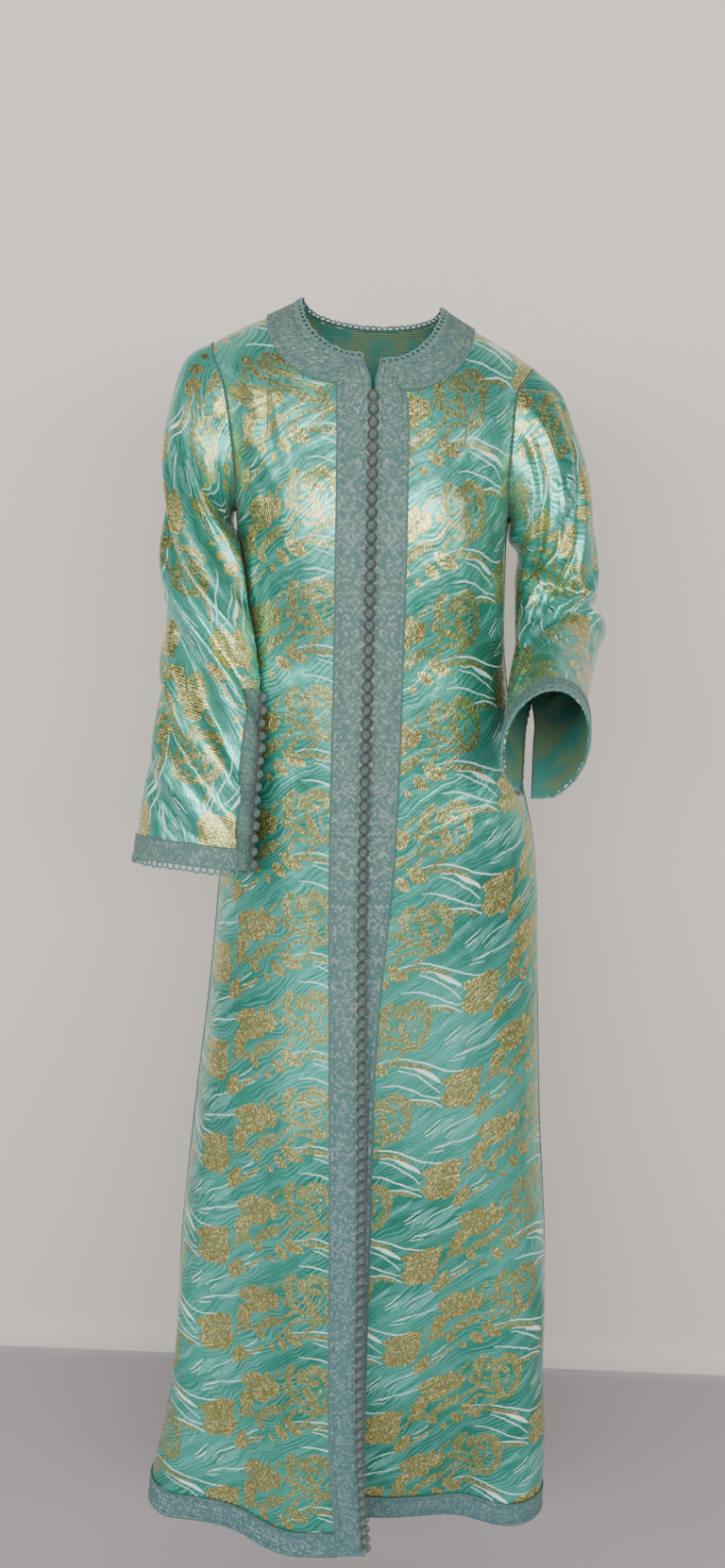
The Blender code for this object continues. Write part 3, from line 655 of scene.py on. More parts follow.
@dataclass
class Sheet:
    """A grid of cloth: points, the ways out of them, and their places on the flat cloth."""

    points: Array
    normals: Array
    flat: Array
    closed_rows: int = 0
    flip: bool = False

    def part(self, rows: slice, columns: slice) -> Sheet:
        """A piece of the grid."""
        points, normals, flat = (v[rows, columns] for v in (self.points, self.normals, self.flat))
        return replace(self, points=points, normals=normals, flat=flat, closed_rows=0)

    def area(self) -> float:
        """The area of the outer face, in square metres."""
        a, b = self.points[:-1, :-1], self.points[1:, 1:]
        c, d = self.points[:-1, 1:], self.points[1:, :-1]
        return float(np.linalg.norm(np.cross(b - a, d - c), axis=-1).sum() / 2)

    def drawn_in(self, axis: int, first: float, last: float) -> Sheet:
        """Moves the grid's first and last lines inwards, along the grid.

        Args:
            axis: The grid's axis that they lie across.
            first: How far the first one moves.
            last: How far the last one does.

        Returns:
            The new grid.
        """
        points = np.swapaxes(self.points.copy(), 0, axis)
        for end, inside, distance in ((0, 1, first), (-1, -2, last)):
            points[end] += unit(points[inside] - points[end]) * distance
        return replace(self, points=np.swapaxes(points, 0, axis), closed_rows=0)


def mesh_piece(name: str, vertices: Array, faces: list, materials: Sequence) -> Item:
    """Adds a mesh object at the origin, shaded smooth.

    Args:
        name: The piece's name.
        vertices: Its points.
        faces: Tuples of point numbers.
        materials: Its materials in order.

    Returns:
        The new object.
    """
    mesh = bpy.data.meshes.new(name)
    mesh.from_pydata(np.asarray(vertices, float).tolist(), [], faces)
    for material in materials:
        mesh.materials.append(material)
    mesh.shade_smooth()
    item = bpy.data.objects.new(name, mesh)
    bpy.context.scene.collection.objects.link(item)
    return item


def wall(name: str, sheet: Sheet, bottom: float, top: float, materials: Sequence) -> Item:
    """A closed wall between two copies of a sheet, with the cloth's places as its UV map.

    The outer face and the edges take the first material and the inner face the second.

    Args:
        name: The piece's name.
        sheet: The grid to thicken.
        bottom: How far the inner face lies out of the grid.
        top: How far the outer face does.
        materials: The outer face's material and the inner face's.

    Returns:
        The new object.
    """
    rows, columns = sheet.points.shape[:2]
    number = np.arange(rows * columns).reshape(rows, columns)
    quads = np.stack([number[:-1, :-1], number[:-1, 1:], number[1:, 1:], number[1:, :-1]], axis=-1)
    quads = quads.reshape(-1, 4)
    if sheet.closed_rows:
        seam = slice(0, sheet.closed_rows)
        last, first = number[:, -1], number[:, 0]
        closing = np.stack([last[:-1], first[:-1], first[1:], last[1:]], axis=-1)[seam]
        quads = np.concatenate([quads, closing])
    if sheet.flip:
        quads = quads[:, ::-1]
    count = rows * columns
    inner = count + quads[:, [0, 3, 2, 1]]
    ends = np.stack([quads, np.roll(quads, -1, axis=1)], axis=-1).reshape(-1, 2)
    codes = ends[:, 0] * count + ends[:, 1]
    lone = ends[~np.isin(codes, ends[:, 1] * count + ends[:, 0])]
    rim = np.stack([lone[:, 1], lone[:, 0], count + lone[:, 0], count + lone[:, 1]], axis=-1)
    faces = np.concatenate([quads, inner, rim])
    upper = (sheet.points + sheet.normals * top).reshape(-1, 3)
    lower = (sheet.points + sheet.normals * bottom).reshape(-1, 3)
    item = mesh_piece(name, np.concatenate([upper, lower]), faces.tolist(), materials)
    flat = np.tile(sheet.flat.reshape(-1, 2), (2, 1))
    corners = flat[faces.reshape(-1)]
    layer = item.data.uv_layers.new(name=UV_NAME)
    layer.data.foreach_set("uv", corners.astype(np.float32).reshape(-1))
    if len(materials) > 1:
        slots = np.zeros(len(faces), np.int32)
        slots[len(quads) : 2 * len(quads)] = 1
        item.data.polygons.foreach_set("material_index", slots)
    keys = np.empty(len(item.data.edges) * 2, np.int32)
    item.data.edges.foreach_get("vertices", keys)
    keys = np.sort(keys.reshape(-1, 2), axis=1)
    both = np.concatenate([np.sort(rim[:, :2], axis=1), np.sort(rim[:, 2:], axis=1)])
    sharp = np.isin(keys[:, 0] * 2 * count + keys[:, 1], both[:, 0] * 2 * count + both[:, 1])
    attribute = item.data.attributes.new("sharp_edge", "BOOLEAN", "EDGE")
    attribute.data.foreach_set("value", sharp)
    return item


@dataclass
class Panels:
    """The two fronts and the back, cut from the body's form.

    The grids are finer copies of the ones that the solids were made from.
    """

    form: BodyForm
    body_rows: int = 170
    braid_rows: int = 5
    yoke_rows: int = 18
    notch_rows: int = 5
    neck_rows: int = 24
    braid_columns: int = 6
    front_columns: int = 46
    back_columns: int = 64
    shoulder_columns: int = 16
    back_rows: int = 46
    drift_top: float = -0.52
    drift: float = 0.155
    calm_edge: float = 0.03
    calm_shoulder: float = 0.10
    calm_hem: float = 0.02
    right_start: float = -0.030
    back_shift: float = 0.04
    ripple_shift: float = 3.0

    def heights(self) -> Array:
        """Heights of the rows below the armpit, from the hem up."""
        hem = np.linspace(-LENGTH, -LENGTH + HEM_BRAID, self.braid_rows, endpoint=False)
        rest = np.linspace(-LENGTH + HEM_BRAID, ARMPIT, self.body_rows)
        return np.concatenate([hem, rest])

    def front_rows(self, side: int) -> Array:
        """Works out where each row of a front runs.

        Args:
            side: Which front.

        Returns:
            For each row the edge's x and z, the braid's x and z, and the outer angle and z.
        """
        form = self.form
        z = self.heights()
        x = form.front_edge(side, z)
        low = np.stack([x, z, x + side * FRONT_BRAID, z, np.full_like(z, side * 90.0), z], axis=-1)
        share = np.arange(1, self.yoke_rows + 1) / self.yoke_rows
        z = ARMPIT + (V_BOTTOM - ARMPIT) * share
        x = form.front_edge(side, z)
        angle, outer_z = form.armhole_place(side, 1 - YOKE_SHARE * share)
        braid_z = z - YOKE_BRAID_DROP * share**2
        yoke = np.stack([x, z, x + side * FRONT_BRAID, braid_z, angle, outer_z], axis=-1)
        share = np.linspace(0, 1, self.neck_rows)
        inner = neck_curve(side, 90 * share)
        outer = self.neck_outer(side, 90 * share)
        angle, outer_z = form.armhole_place(side, NECK_SHARE * (1 - share))
        neck = np.stack([*inner, *outer, angle, outer_z], axis=-1)
        between = np.arange(1, self.notch_rows) / self.notch_rows
        notch = yoke[-1] + (neck[0] - yoke[-1]) * between[:, None]
        return np.concatenate([low, yoke, notch, neck])

    def neck_outer(self, side: int, turn: Array) -> tuple:
        """The neck braid's outer edge, from the mitre's foot to the shoulder seam.

        Args:
            side: Which front.
            turn: How far along it, from 0 to 90.

        Returns:
            The x and z of the places.
        """
        start_x = self.form.edge_x(np.array(V_BOTTOM)) + side * FRONT_BRAID
        start_z = V_CORNER_Z[side] - MITRE_DROP
        end_x = side * (NECK_HALF + NECK_BRAID)
        end_z = self.form.shoulder_height(np.array(end_x))
        sine, cosine = sine_cosine(turn)
        x = start_x + (end_x - start_x) * sine
        return x, start_z + (end_z - start_z) * (1 - cosine)

    @property
    def low_rows(self) -> int:
        """How many rows lie at or below the armpit."""
        return self.braid_rows + self.body_rows

    @property
    def notch_row(self) -> int:
        """The row of the V's foot."""
        return self.low_rows + self.yoke_rows - 1

    @property
    def neck_row(self) -> int:
        """The first row of the neckline."""
        return self.notch_row + self.notch_rows

    def calm(self, z: Array, drop: float) -> Array:
        """Lets small creases die away towards the hem and the shoulders, a drop below them."""
        return ease((-z - drop) / self.calm_shoulder) * ease((LENGTH + z) / self.calm_hem)

    def dragged(self, points: Array, drags: Sequence[Drag]) -> Array:
        """How far the small creases move the cloth outwards.

        Args:
            points: The cloth's points.
            drags: The creases.

        Returns:
            The reach at each point, in metres.
        """
        reach = np.zeros(points.shape[:-1])
        for drag in drags:
            start = np.array((drag.x, drag.z))
            way = np.array((drag.end_x, drag.end_z)) - start
            length = np.hypot(*way)
            way = way / length
            side = np.array((-way[1], way[0]))
            place = points[..., [0, 2]] - start
            along = (place @ way) / length
            away = place @ side - drag.bow * 4 * along * (1 - along)
            ends = bump(np.clip(2 * along - 1, -1, 1)) ** 0.5
            reach += drag.out * ends * bump(away / (2 * drag.spread))
        return reach

    def rippled(self, flat: Array, strength: Array) -> Array:
        """Small uneven waves of hanging cloth, from a few crossing sines.

        Args:
            flat: Places on the cloth, in metres.
            strength: How strong the waves are at each place, 1 at most.

        Returns:
            How far the cloth moves outwards, in metres.
        """
        u, v = flat[..., 0], flat[..., 1]
        total = np.zeros_like(u)
        for wave in RIPPLES:
            sway = 1.3 * np.sin(5.1 * v + 2.3 * wave.start) + 0.9 * np.sin(9.7 * u + wave.start)
            total += wave.size * np.sin(wave.across * u + wave.up * v + wave.start + sway)
        return total * strength

    def front(self, side: int) -> Sheet:
        """Cuts a front.

        Args:
            side: Which front.

        Returns:
            The sheet, with rows from the hem up and columns from its edge.
        """
        form = self.form
        rows = self.front_rows(side)
        inner_x, inner_z, braid_x, braid_z, outer_angle, outer_z = (c[:, None] for c in rows.T)
        share = (np.arange(self.braid_columns) / self.braid_columns)[None, :]
        z = inner_z + (braid_z - inner_z) * share
        angle = form.angle_at(inner_x + (braid_x - inner_x) * share, z)
        start = form.angle_at(braid_x, braid_z)
        share = np.linspace(0, 1, self.front_columns)[None, :]
        angle = np.concatenate([angle, start + (outer_angle - start) * share], axis=1)
        z = np.concatenate([z, braid_z + (outer_z - braid_z) * share], axis=1)
        points = form.point(angle, z, side)
        points[-1, :, 2] = form.shoulder_height(points[-1, :, 0])
        points[-1, :, 1] = -SEAM_GAP / 2
        points[: self.low_rows, -1, 1] -= SEAM_GAP / 2
        normals = grid_normals(points, turn=side)
        flat = self.laid_front(points, side)
        reach = self.dragged(points, FRONT_DRAGS)
        column = arc(points, axis=1)
        beside = ease((column[:, -1:] - column) / self.calm_edge)
        quiet = ease(column / self.calm_edge - 1) * beside
        quiet = quiet * self.calm(points[..., 2], 0.02)
        reach = reach * quiet + self.rippled(flat, quiet)
        points = points + normals * reach[..., None]
        normals = grid_normals(points, turn=side)
        normals[-1] = ridge_normal(points[-1, :, 0])
        return Sheet(points, normals, flat, 0, side < 0)

    def laid_front(self, points: Array, side: int) -> Array:
        """Lays a front on the woven pattern; the left one's leans to its edge below the hip.

        Args:
            points: The front's points.
            side: Which front.

        Returns:
            Their places across and up the pattern, in metres.
        """
        across = arc(points, axis=1)
        if side > 0:
            lean = np.maximum(0.0, self.drift_top - points[..., 2]) * self.drift
            u = points[:, :1, 0] + across + lean
        else:
            u = self.right_start - across
        shift_u, shift_v = PATTERN_SHIFT[side]
        return np.stack([u + shift_u, points[..., 2] + shift_v], axis=-1)

    def back(self) -> Sheet:
        """The back as a sheet, rows from the hem up, columns from the left seam to the right."""
        form = self.form
        columns, shoulder = self.back_columns, self.shoulder_columns
        low = self.heights()[:, None]
        angle = 90 + 180 * np.linspace(0, 1, columns + 1)[None, :]
        below = form.point(angle, low)
        below[:, 0, 1] += SEAM_GAP / 2
        below[:, -1, 1] += SEAM_GAP / 2
        tips = SHOULDER_TIP[1], -SHOULDER_TIP[-1]
        across = columns - 2 * shoulder
        turn = np.radians(90 - 180 * np.linspace(0, 1, across + 1))
        neck_x = NECK_HALF * np.sin(turn)
        top_x = np.concatenate(
            [
                np.linspace(tips[0], NECK_HALF, shoulder, endpoint=False),
                neck_x,
                np.linspace(-NECK_HALF, tips[1], shoulder + 1)[1:],
            ]
        )
        top_z = form.shoulder_height(top_x)
        top_z[shoulder : shoulder + across + 1] -= BACK_NECK_DROP * np.cos(turn)
        rise = (np.arange(1, self.back_rows + 1) / self.back_rows)[:, None]
        left, left_z = form.armhole_place(1, 1 - rise, back=True)
        right, right_z = form.armhole_place(-1, 1 - rise, back=True)
        right = right % 360
        even = np.linspace(0, 1, columns + 1)[None, :]
        z = ARMPIT + (top_z[None, :] - ARMPIT) * rise
        goal = (form.angle_at(top_x[None, :], z, back=True) % 360 - left) / (right - left)
        share = even + (goal - even) * rise
        share[:, [0, -1]] = even[:, [0, -1]]
        z[:, :1], z[:, -1:] = left_z, right_z
        above = form.point(left + (right - left) * share, z)
        seam = np.abs(top_x) >= NECK_HALF - 1e-6
        above[-1, seam] = np.stack(
            [top_x[seam], np.full(seam.sum(), SEAM_GAP / 2), top_z[seam]], axis=-1
        )
        points = np.concatenate([below, above])
        normals = grid_normals(points)
        across_flat = arc(points, axis=1)
        middle = across_flat[:, columns // 2 : columns // 2 + 1]
        flat = np.stack([across_flat - middle + self.back_shift, points[..., 2]], axis=-1)
        beside = ease((across_flat[:, -1:] - across_flat) / self.calm_edge)
        quiet = ease(across_flat / self.calm_edge) * beside * self.calm(points[..., 2], 0.04)
        ripples = self.rippled(flat + self.ripple_shift, np.ones_like(quiet))
        reach = self.dragged(points, BACK_DRAGS) + ripples
        points = points + normals * (reach * quiet)[..., None]
        normals = grid_normals(points)
        normals[-1, seam] = ridge_normal(top_x[seam])
        return Sheet(points, normals, flat)


@dataclass
class SleeveCut:
    """A sleeve, from the armhole to the cuff, open along its slit below the elbow."""

    side: int
    panels: Panels
    upper_rings: int = 84
    slit_rings: int = 54
    cuff_rings: int = 5
    braid_columns: int = 5
    middle_columns: int = 78
    calm_share: float = 0.08
    clear_from: float = 0.055
    pattern_shift: float = 0.07

    def __post_init__(self) -> None:
        """Makes a curve for each column of the sleeve's table."""
        self.curves = {name: Profile(RINGS[self.side], name) for name in Ring._fields[1:]}

    def ring_point(self, along: Array, angle: Array, reach: Array) -> Array:
        """Points of the sleeve's sections, before it meets the armhole.

        Args:
            along: Shares of the way from the armhole to the cuff.
            angle: Angles round the section in degrees; 0 is outside and 90 in front.
            reach: How far the cloth stands out of the plain section.

        Returns:
            Points, with x, y and z last.
        """
        along, angle = np.broadcast_arrays(along, angle)
        read = {name: self.curves[name](along) for name in Ring._fields[1:9]}
        tilts = (read[name][..., None] for name in ("lean", "pitch", "turn"))
        lean, pitch, turn = (np.radians(tilt) for tilt in tilts)
        zero = np.zeros_like(lean)
        across = np.concatenate([self.side * np.cos(lean), zero, np.sin(lean)], axis=-1)
        ahead = np.concatenate([zero, -np.cos(pitch), np.sin(pitch)], axis=-1)
        outer = across * np.cos(turn) - ahead * np.sin(turn)
        front = ahead * np.cos(turn) + across * np.sin(turn)
        sine, cosine = sine_cosine(angle)
        middle = np.stack([self.side * read["outward"], read["y"], read["z"]], axis=-1)
        wide = ((read["wide"] + reach) * cosine)[..., None]
        deep = ((read["deep"] + reach) * sine)[..., None]
        return middle + outer * wide + front * deep

    @staticmethod
    def crease_reach(creases: Sequence[Crease], along: Array, angle: Array) -> Array:
        """How far creases move the cloth outwards.

        Args:
            creases: The creases.
            along: Shares of the way from the armhole to the cuff.
            angle: Angles round the section in degrees.

        Returns:
            The reach at each place, in metres.
        """
        reach = np.zeros(np.broadcast(along, angle).shape)
        for crease in creases:
            away = (angle - crease.angle + 180.0) % 360.0 - 180.0
            middle = crease.along + crease.slant * away / 90.0
            level = (along - middle) / (2 * crease.length)
            reach = reach + crease.out * bump(level) * bump(away / (2 * crease.spread))
        return reach

    def places(self) -> Array:
        """How far along the sleeve each ring lies, even above the slit and below it."""
        return np.concatenate(
            [
                np.linspace(0, SLIT_TOP, self.upper_rings, endpoint=False),
                np.linspace(SLIT_TOP, CUFF_TOP, self.slit_rings, endpoint=False),
                np.linspace(CUFF_TOP, 1.0, self.cuff_rings + 1),
            ]
        )

    def angles(self, seam: Array, gap: Array) -> Array:
        """Sets the columns out round each ring, with the slit braids' width at both ends.

        Args:
            seam: Where each ring's seam is, in degrees.
            gap: Half of how far it is open.

        Returns:
            The columns' angles in degrees.
        """
        start, end = seam + gap, seam + 360.0 - gap
        edge = SLIT_BRAID_ANGLE
        share = np.linspace(0, 1, self.braid_columns, endpoint=False)
        middle = np.linspace(0, 1, self.middle_columns)
        first = start + edge * share
        painted_shade = start + edge + (end - start - 2 * edge) * middle
        last = end - edge + edge * np.linspace(0, 1, self.braid_columns + 1)[1:]
        return np.concatenate([first, painted_shade, last], axis=-1)

    def loop(self, front: Sheet, back: Sheet) -> tuple:
        """The armhole as two lines from the shoulder tip to the armpit.

        Args:
            front: The front on the sleeve's side.
            back: The back.

        Returns:
            The points and outward ways of the front's line, and those of the back's.
        """
        start = self.panels.low_rows - 1
        column = 0 if self.side > 0 else -1
        return (
            (front.points[start:, -1][::-1], front.normals[start:, -1][::-1]),
            (back.points[start:, column][::-1], back.normals[start:, column][::-1]),
        )

    @staticmethod
    def along_line(line: Array, places: Array, share: Array) -> Array:
        """Values at shares of a line's length."""
        length = arc(places)
        return read_at(share, length / length[-1], line)

    def sheet(self, front: Sheet, back: Sheet) -> Sheet:
        """The sleeve as a sheet, rings from the armhole and columns round it from its seam.

        Args:
            front: The front on the sleeve's side.
            back: The back.

        Returns:
            The sleeve's sheet, closed round as far as the slit.
        """
        side, form = self.side, self.panels.form
        along = self.places()[:, None]
        seam = self.curves["seam"](along)
        opening = ease((along - SLIT_TOP) / SLIT_OPENING)
        gap = SLIT_HALF_ANGLE[side] * opening + SEAM_HALF_ANGLE
        angle = self.angles(seam, gap)
        reach = self.crease_reach(CREASES[side], along, angle)
        fine = self.crease_reach(FINE_CREASES[side], along, angle)
        quiet = ease(along / self.calm_share) * ease((1.0 - along) / self.calm_share)
        points = self.ring_point(along, angle, reach + fine * quiet)
        halves = self.loop(front, back)
        turned = angle % 360.0
        ahead = turned <= 180
        share = np.where(ahead, turned, 360.0 - turned) / 180.0
        wanted, lines = (
            np.where(ahead[..., None], *(self.along_line(h[k], h[0], share) for h in halves))
            for k in (0, 1)
        )
        wanted[..., 0] += side * ARMHOLE_GAP
        start = self.ring_point(np.zeros_like(along), angle, np.zeros_like(angle))
        blend = (1 - ease(along / HEAD_SHARE))[..., None]
        points = points + (wanted - start) * blend
        clear = form.outside(points, BODY_CLEARANCE)
        points = np.where((along > self.clear_from)[..., None], clear, points)
        normals = grid_normals(points, wraps=True, turn=side)
        slit = along[:, 0] > SLIT_TOP
        normals[slit] = grid_normals(points, turn=side)[slit]
        own = ease((np.abs(turned[0] - 180.0) - ARMPIT_HALF_ANGLE) / ARMPIT_BLEND_ANGLE)[:, None]
        normals[0] = unit(lines[0] * own + normals[0] * (1 - own))
        across = arc(points, axis=1)
        middle = across[:, across.shape[1] // 2][:, None]
        down = arc(points, axis=0)[:, points.shape[1] // 2][:, None]
        up = side * (middle - across) + self.pattern_shift * side
        flat = np.stack([down + 0 * across, up], axis=-1)
        return Sheet(points, normals, flat, self.upper_rings, side < 0)


def linear(hex_colour: str) -> tuple:
    """Turns an sRGB hex colour into a linear one.

    Args:
        hex_colour: A hash and six digits.

    Returns:
        Red, green, blue and alpha.
    """
    channels = [int(hex_colour[k : k + 2], 16) / 255 for k in (1, 3, 5)]
    bright = (c / 12.92 if c <= 0.04045 else ((c + 0.055) / 1.055) ** 2.4 for c in channels)
    return *bright, 1.0


def feed(node: Node, inputs: dict) -> None:
    """Links or sets a node's inputs.

    Args:
        node: The node.
        inputs: A socket or a value for each input, by its name or number.
    """
    for key, value in inputs.items():
        if isinstance(value, Socket):
            node.id_data.links.new(value, node.inputs[key])
        else:
            node.inputs[key].default_value = value


def add_node(tree: Tree, kind: str, inputs: dict | None = None, **settings) -> Node:
    """Adds a node.

    Args:
        tree: The node tree.
        kind: The node's type name.
        inputs: A socket or a value for each input, by its name or number.
        settings: The node's own properties.

    Returns:
        The new node.
    """
    node = tree.nodes.new(kind)
    for name, value in settings.items():
        setattr(node, name, value)
    feed(node, inputs or {})
    return node


class Sum:
    """Writes arithmetic on sockets as short calls, in one node tree."""

    def __init__(self, tree: Tree) -> None:
        """Keeps the tree that the nodes go to."""
        self.tree = tree

    def __call__(self, operation: str, *values) -> Socket:
        """One Math node's output, given sockets or numbers."""
        inputs = dict(enumerate(values))
        return add_node(self.tree, "ShaderNodeMath", inputs, operation=operation).outputs[0]

    def smooth(self, low: float, high: float, value) -> Socket:
        """A smooth step of a value.

        Args:
            low: The value that gives 0.
            high: The value that gives 1.
            value: The value.

        Returns:
            The step's height.
        """
        settings = {"interpolation_type": "SMOOTHSTEP"}
        inputs = {0: value, 1: low, 2: high}
        return add_node(self.tree, "ShaderNodeMapRange", inputs, **settings).outputs[0]

    def wave(self, value, pitch: float) -> Socket:
        """A sine of a length in metres that comes round once in a pitch."""
        return self("SINE", self("MULTIPLY", value, 2 * math.pi / pitch))

    def mix(self, share, first, second) -> Socket:
        """A blend of two colours."""
        inputs = {0: share, 6: first, 7: second}
        return add_node(self.tree, "ShaderNodeMix", inputs, data_type="RGBA").outputs[2]

    def blend(self, share, first, second) -> Socket:
        """A blend of two numbers."""
        return add_node(self.tree, "ShaderNodeMix", {0: share, 2: first, 3: second}).outputs[0]


class Thread(Enum):
    """What a motif is woven in."""

    GOLD = "solid gold"
    ROPE = "gold in slanting ribs"
    WHITE = "silvery white"
    TONE = "dark tone of the ground"
    PALE = "pale tone of the ground"
    BARE = "ground showing through gold"


class Stroke(NamedTuple):
    """One woven motif in a repeat, in centimetres: a bowed lens, its bow and its S-bend."""

    x: float
    y: float
    angle: float
    reach: float
    width: float
    blunt: float
    bow: float = 0.0
    bend: float = 0.0


REPEAT_ACROSS = 20.5
REPEAT_UP = 11.3
EDGE_SOFTNESS = 0.12
END_SOFTNESS = 0.08

# One repeat holds a full rose with leaves under it, a curled rose in ribbed petals, ropes
# beside them, a fan of white streaks that meets at a gold patch, and reeds between the fans.
MOTIFS = {
    Thread.GOLD: table(
        Stroke,
        # The full rose.
        (-1.9, 1.9, 35, 1.5, 0.75, 0.45),
        (-0.3, 1.55, 20, 2.45, 1.25, 0.45),
        (-1.2, 2.5, 40, 0.85, 0.45, 0.5),
        (0.45, 2.85, 80, 0.85, 0.4, 0.6),
        (1.65, 1.85, 75, 1.15, 0.6, 0.45),
        (-1.25, 0, 10, 2.05, 0.55, 0.45),
        (-2.5, -1.1, 60, 1.25, 0.85, 0.45),
        # Leaves under it.
        (-0.6, -3.15, -50, 0.95, 0.55, 1, 0.1),
        (2.5, -3.05, -40, 1.15, 0.62, 1, 0.08),
        (3.95, -1.95, -28, 1.6, 0.76, 1, 0.06),
        (1.15, -4.25, -45, 0.62, 0.38, 1, 0.1),
        # The fan.
        (14.2, -4.3, 62, 2.7, 1.65, 0.45),
        (13.1, -3.15, 22, 1.4, 0.7, 0.5, 0.06),
        (15.6, -5.3, 70, 1.6, 0.6, 0.5, 0.06),
        (16.8, -6.4, 60, 1.2, 0.42, 0.8, 0.1),
        # Reeds.
        (17.2, 4.6, 64, 1.7, 0.5, 0.9, 0.12),
    ),
    Thread.ROPE: table(
        Stroke,
        # The full rose.
        (-2.5, -2.65, 10, 1.2, 0.62, 0.35),
        (0.85, -1.1, 35, 2.1, 0.62, 0.3, -0.04),
        # The curled rose.
        (3.5, 4.35, 88, 1.6, 0.62, 0.35, -0.22),
        (3.95, 5.6, 15, 0.6, 0.38, 0.4),
        (5, 4.8, 72, 1, 0.5, 0.4, -0.2),
        (5.55, 5.25, -12, 0.85, 0.42, 0.4),
        (6.3, 4.3, -8, 1.15, 0.46, 0.35),
        (7.35, 5.6, -24, 1.6, 0.66, 0.35, -0.1),
        (8.35, 4.5, -68, 1.35, 0.66, 0.35, -0.06),
        (8.85, 2.9, -86, 1.5, 0.3, 0.4, -0.05),
        (7.3, 3, 82, 0.65, 0.19, 0.4, 0.1),
        (8.05, 2.25, 60, 0.7, 0.18, 0.4, 0.12),
        (6.3, 2.2, -62, 1.75, 0.55, 0.35, 0.05),
        (7.55, 0.78, 12, 1.25, 0.52, 0.4, 0.12),
        (8.5, 1.6, 68, 0.9, 0.4, 0.4),
        (3.1, 2.45, -65, 0.62, 0.4, 0.4),
        (4.6, 1.85, -24, 1.6, 0.4, 0.35, 0.04),
        (4.7, 2.9, -12, 0.8, 0.2, 0.35),
        # Ropes.
        (3.6, 0.9, 48, 1.15, 0.27, 0.3, 0.05),
        (3.95, -0.25, 57, 1, 0.27, 0.3, 0.05),
        (5.6, 0.55, -6, 1.1, 0.25, 0.3, -0.1),
        (6, -0.6, 38, 1.3, 0.23, 0.3, 0.06),
        (-1.8, 5.3, 42, 2.5, 0.25, 0.3, -0.03),
        (1.9, 3.95, 52, 1, 0.22, 0.3),
        # The fan.
        (7.4, -1.4, -6, 3, 0.3, 0.6, -0.06),
        (9.9, -6.1, -2, 2, 0.25, 0.6, -0.11),
        (13.2, -5.6, 4, 1.3, 0.5, 0.4),
        (15.5, -2.6, 42, 1.2, 0.5, 0.5, 0.1),
        # Reeds.
        (17.6, -2.6, 70, 2.4, 0.22, 0.8, 0.08),
    ),
    Thread.BARE: table(
        Stroke,
        # The full rose.
        (-1.9, 1.35, 27, 1.15, 0.13, 0.9, 0.05),
        (-1.9, 0.45, 16, 1.3, 0.16, 0.9, 0.06),
        (0.75, 1.6, 95, 0.95, 0.08, 0.9, 0.18),
        (-0.4, 2, 60, 0.8, 0.06, 0.9, 0.15),
        # Leaves under it.
        (3.7, -1.8, -20, 1, 0.11, 1, 0.1),
        (2.4, -3, -40, 0.6, 0.08, 1, 0.12),
        (-0.6, -3.1, -52, 0.5, 0.08, 1, 0.12),
        # The fan.
        (13.6, -4.9, 6, 1.7, 0.09, 0.5, 0.06),
        (14, -3.7, 24, 1.5, 0.09, 0.5, 0.1),
        (15.1, -4.6, 58, 1.6, 0.08, 0.5, 0.12),
    ),
    Thread.WHITE: table(
        Stroke,
        # The fan.
        (9.4, -1.3, -19, 5.4, 0.085, 0.25, -0.013, 0.0105),
        (9.9, -2.55, -25, 2, 0.26, 0.7, -0.03),
        (8.3, -1.85, -12, 1.8, 0.08, 0.3, -0.07),
        (9.3, -3.1, -28, 3.1, 0.07, 0.25, -0.045),
        (8.6, -4.6, -20, 3.75, 0.08, 0.25, -0.02, 0.012),
        (10, -5.7, -5, 2.45, 0.085, 0.25, -0.11),
        # Reeds.
        (11.8, 2.3, 47, 1.2, 0.065, 0.3, 0.05),
        (11.75, 1.6, 41, 0.8, 0.07, 0.3, 0.1),
        (14, 1.45, 48, 0.75, 0.05, 0.3),
        (13.5, -0.1, 20, 1, 0.06, 0.3, 0.14),
        (12.85, -0.85, 10, 0.9, 0.05, 0.3, 0.14),
        (15.1, 3, 26, 2.6, 0.06, 0.3, 0, 0.03),
        (15.2, 0.55, 14, 3.2, 0.06, 0.3, 0, 0.014),
        # Streaks beside the rose.
        (-1.7, -4.75, 40, 1.15, 0.06, 0.3, 0.05),
        (-1.2, -5.35, 28, 1.35, 0.065, 0.3, 0.05),
        (-1.4, 5.35, 30, 1.1, 0.05, 0.3, 0.05),
    ),
    Thread.TONE: table(
        Stroke,
        # Reeds.
        (11.8, 1.95, 44, 1, 0.1, 0.5, 0.05),
        # Outlines.
        (1.7, 4.6, 38, 1.1, 0.06, 0.3, 0.1),
        (2.6, 1.9, 60, 1.6, 0.045, 0.2, -0.1),
        (6.2, -3.4, 36, 2.6, 0.05, 0.2, 0.08, 0.01),
        (5.4, -5, 34, 2.2, 0.045, 0.2, -0.08),
        (10.6, 4.2, 52, 2, 0.05, 0.2, -0.1, 0.01),
        (16.3, 1.6, 52, 2.4, 0.05, 0.2, 0.14),
        (14.2, 2.2, 50, 2.2, 0.05, 0.2, -0.12),
    ),
    Thread.PALE: table(
        Stroke,
        (15.4, 2.2, 42, 2.4, 0.48, 1.2, -0.05),
        (12.9, 2.3, 48, 2.1, 0.42, 1.1, -0.06),
        (16.2, 0.95, 36, 2.1, 0.36, 1.2, 0.04),
        (10.2, 3.1, 46, 1.7, 0.32, 1.1, 0.05),
    ),
}


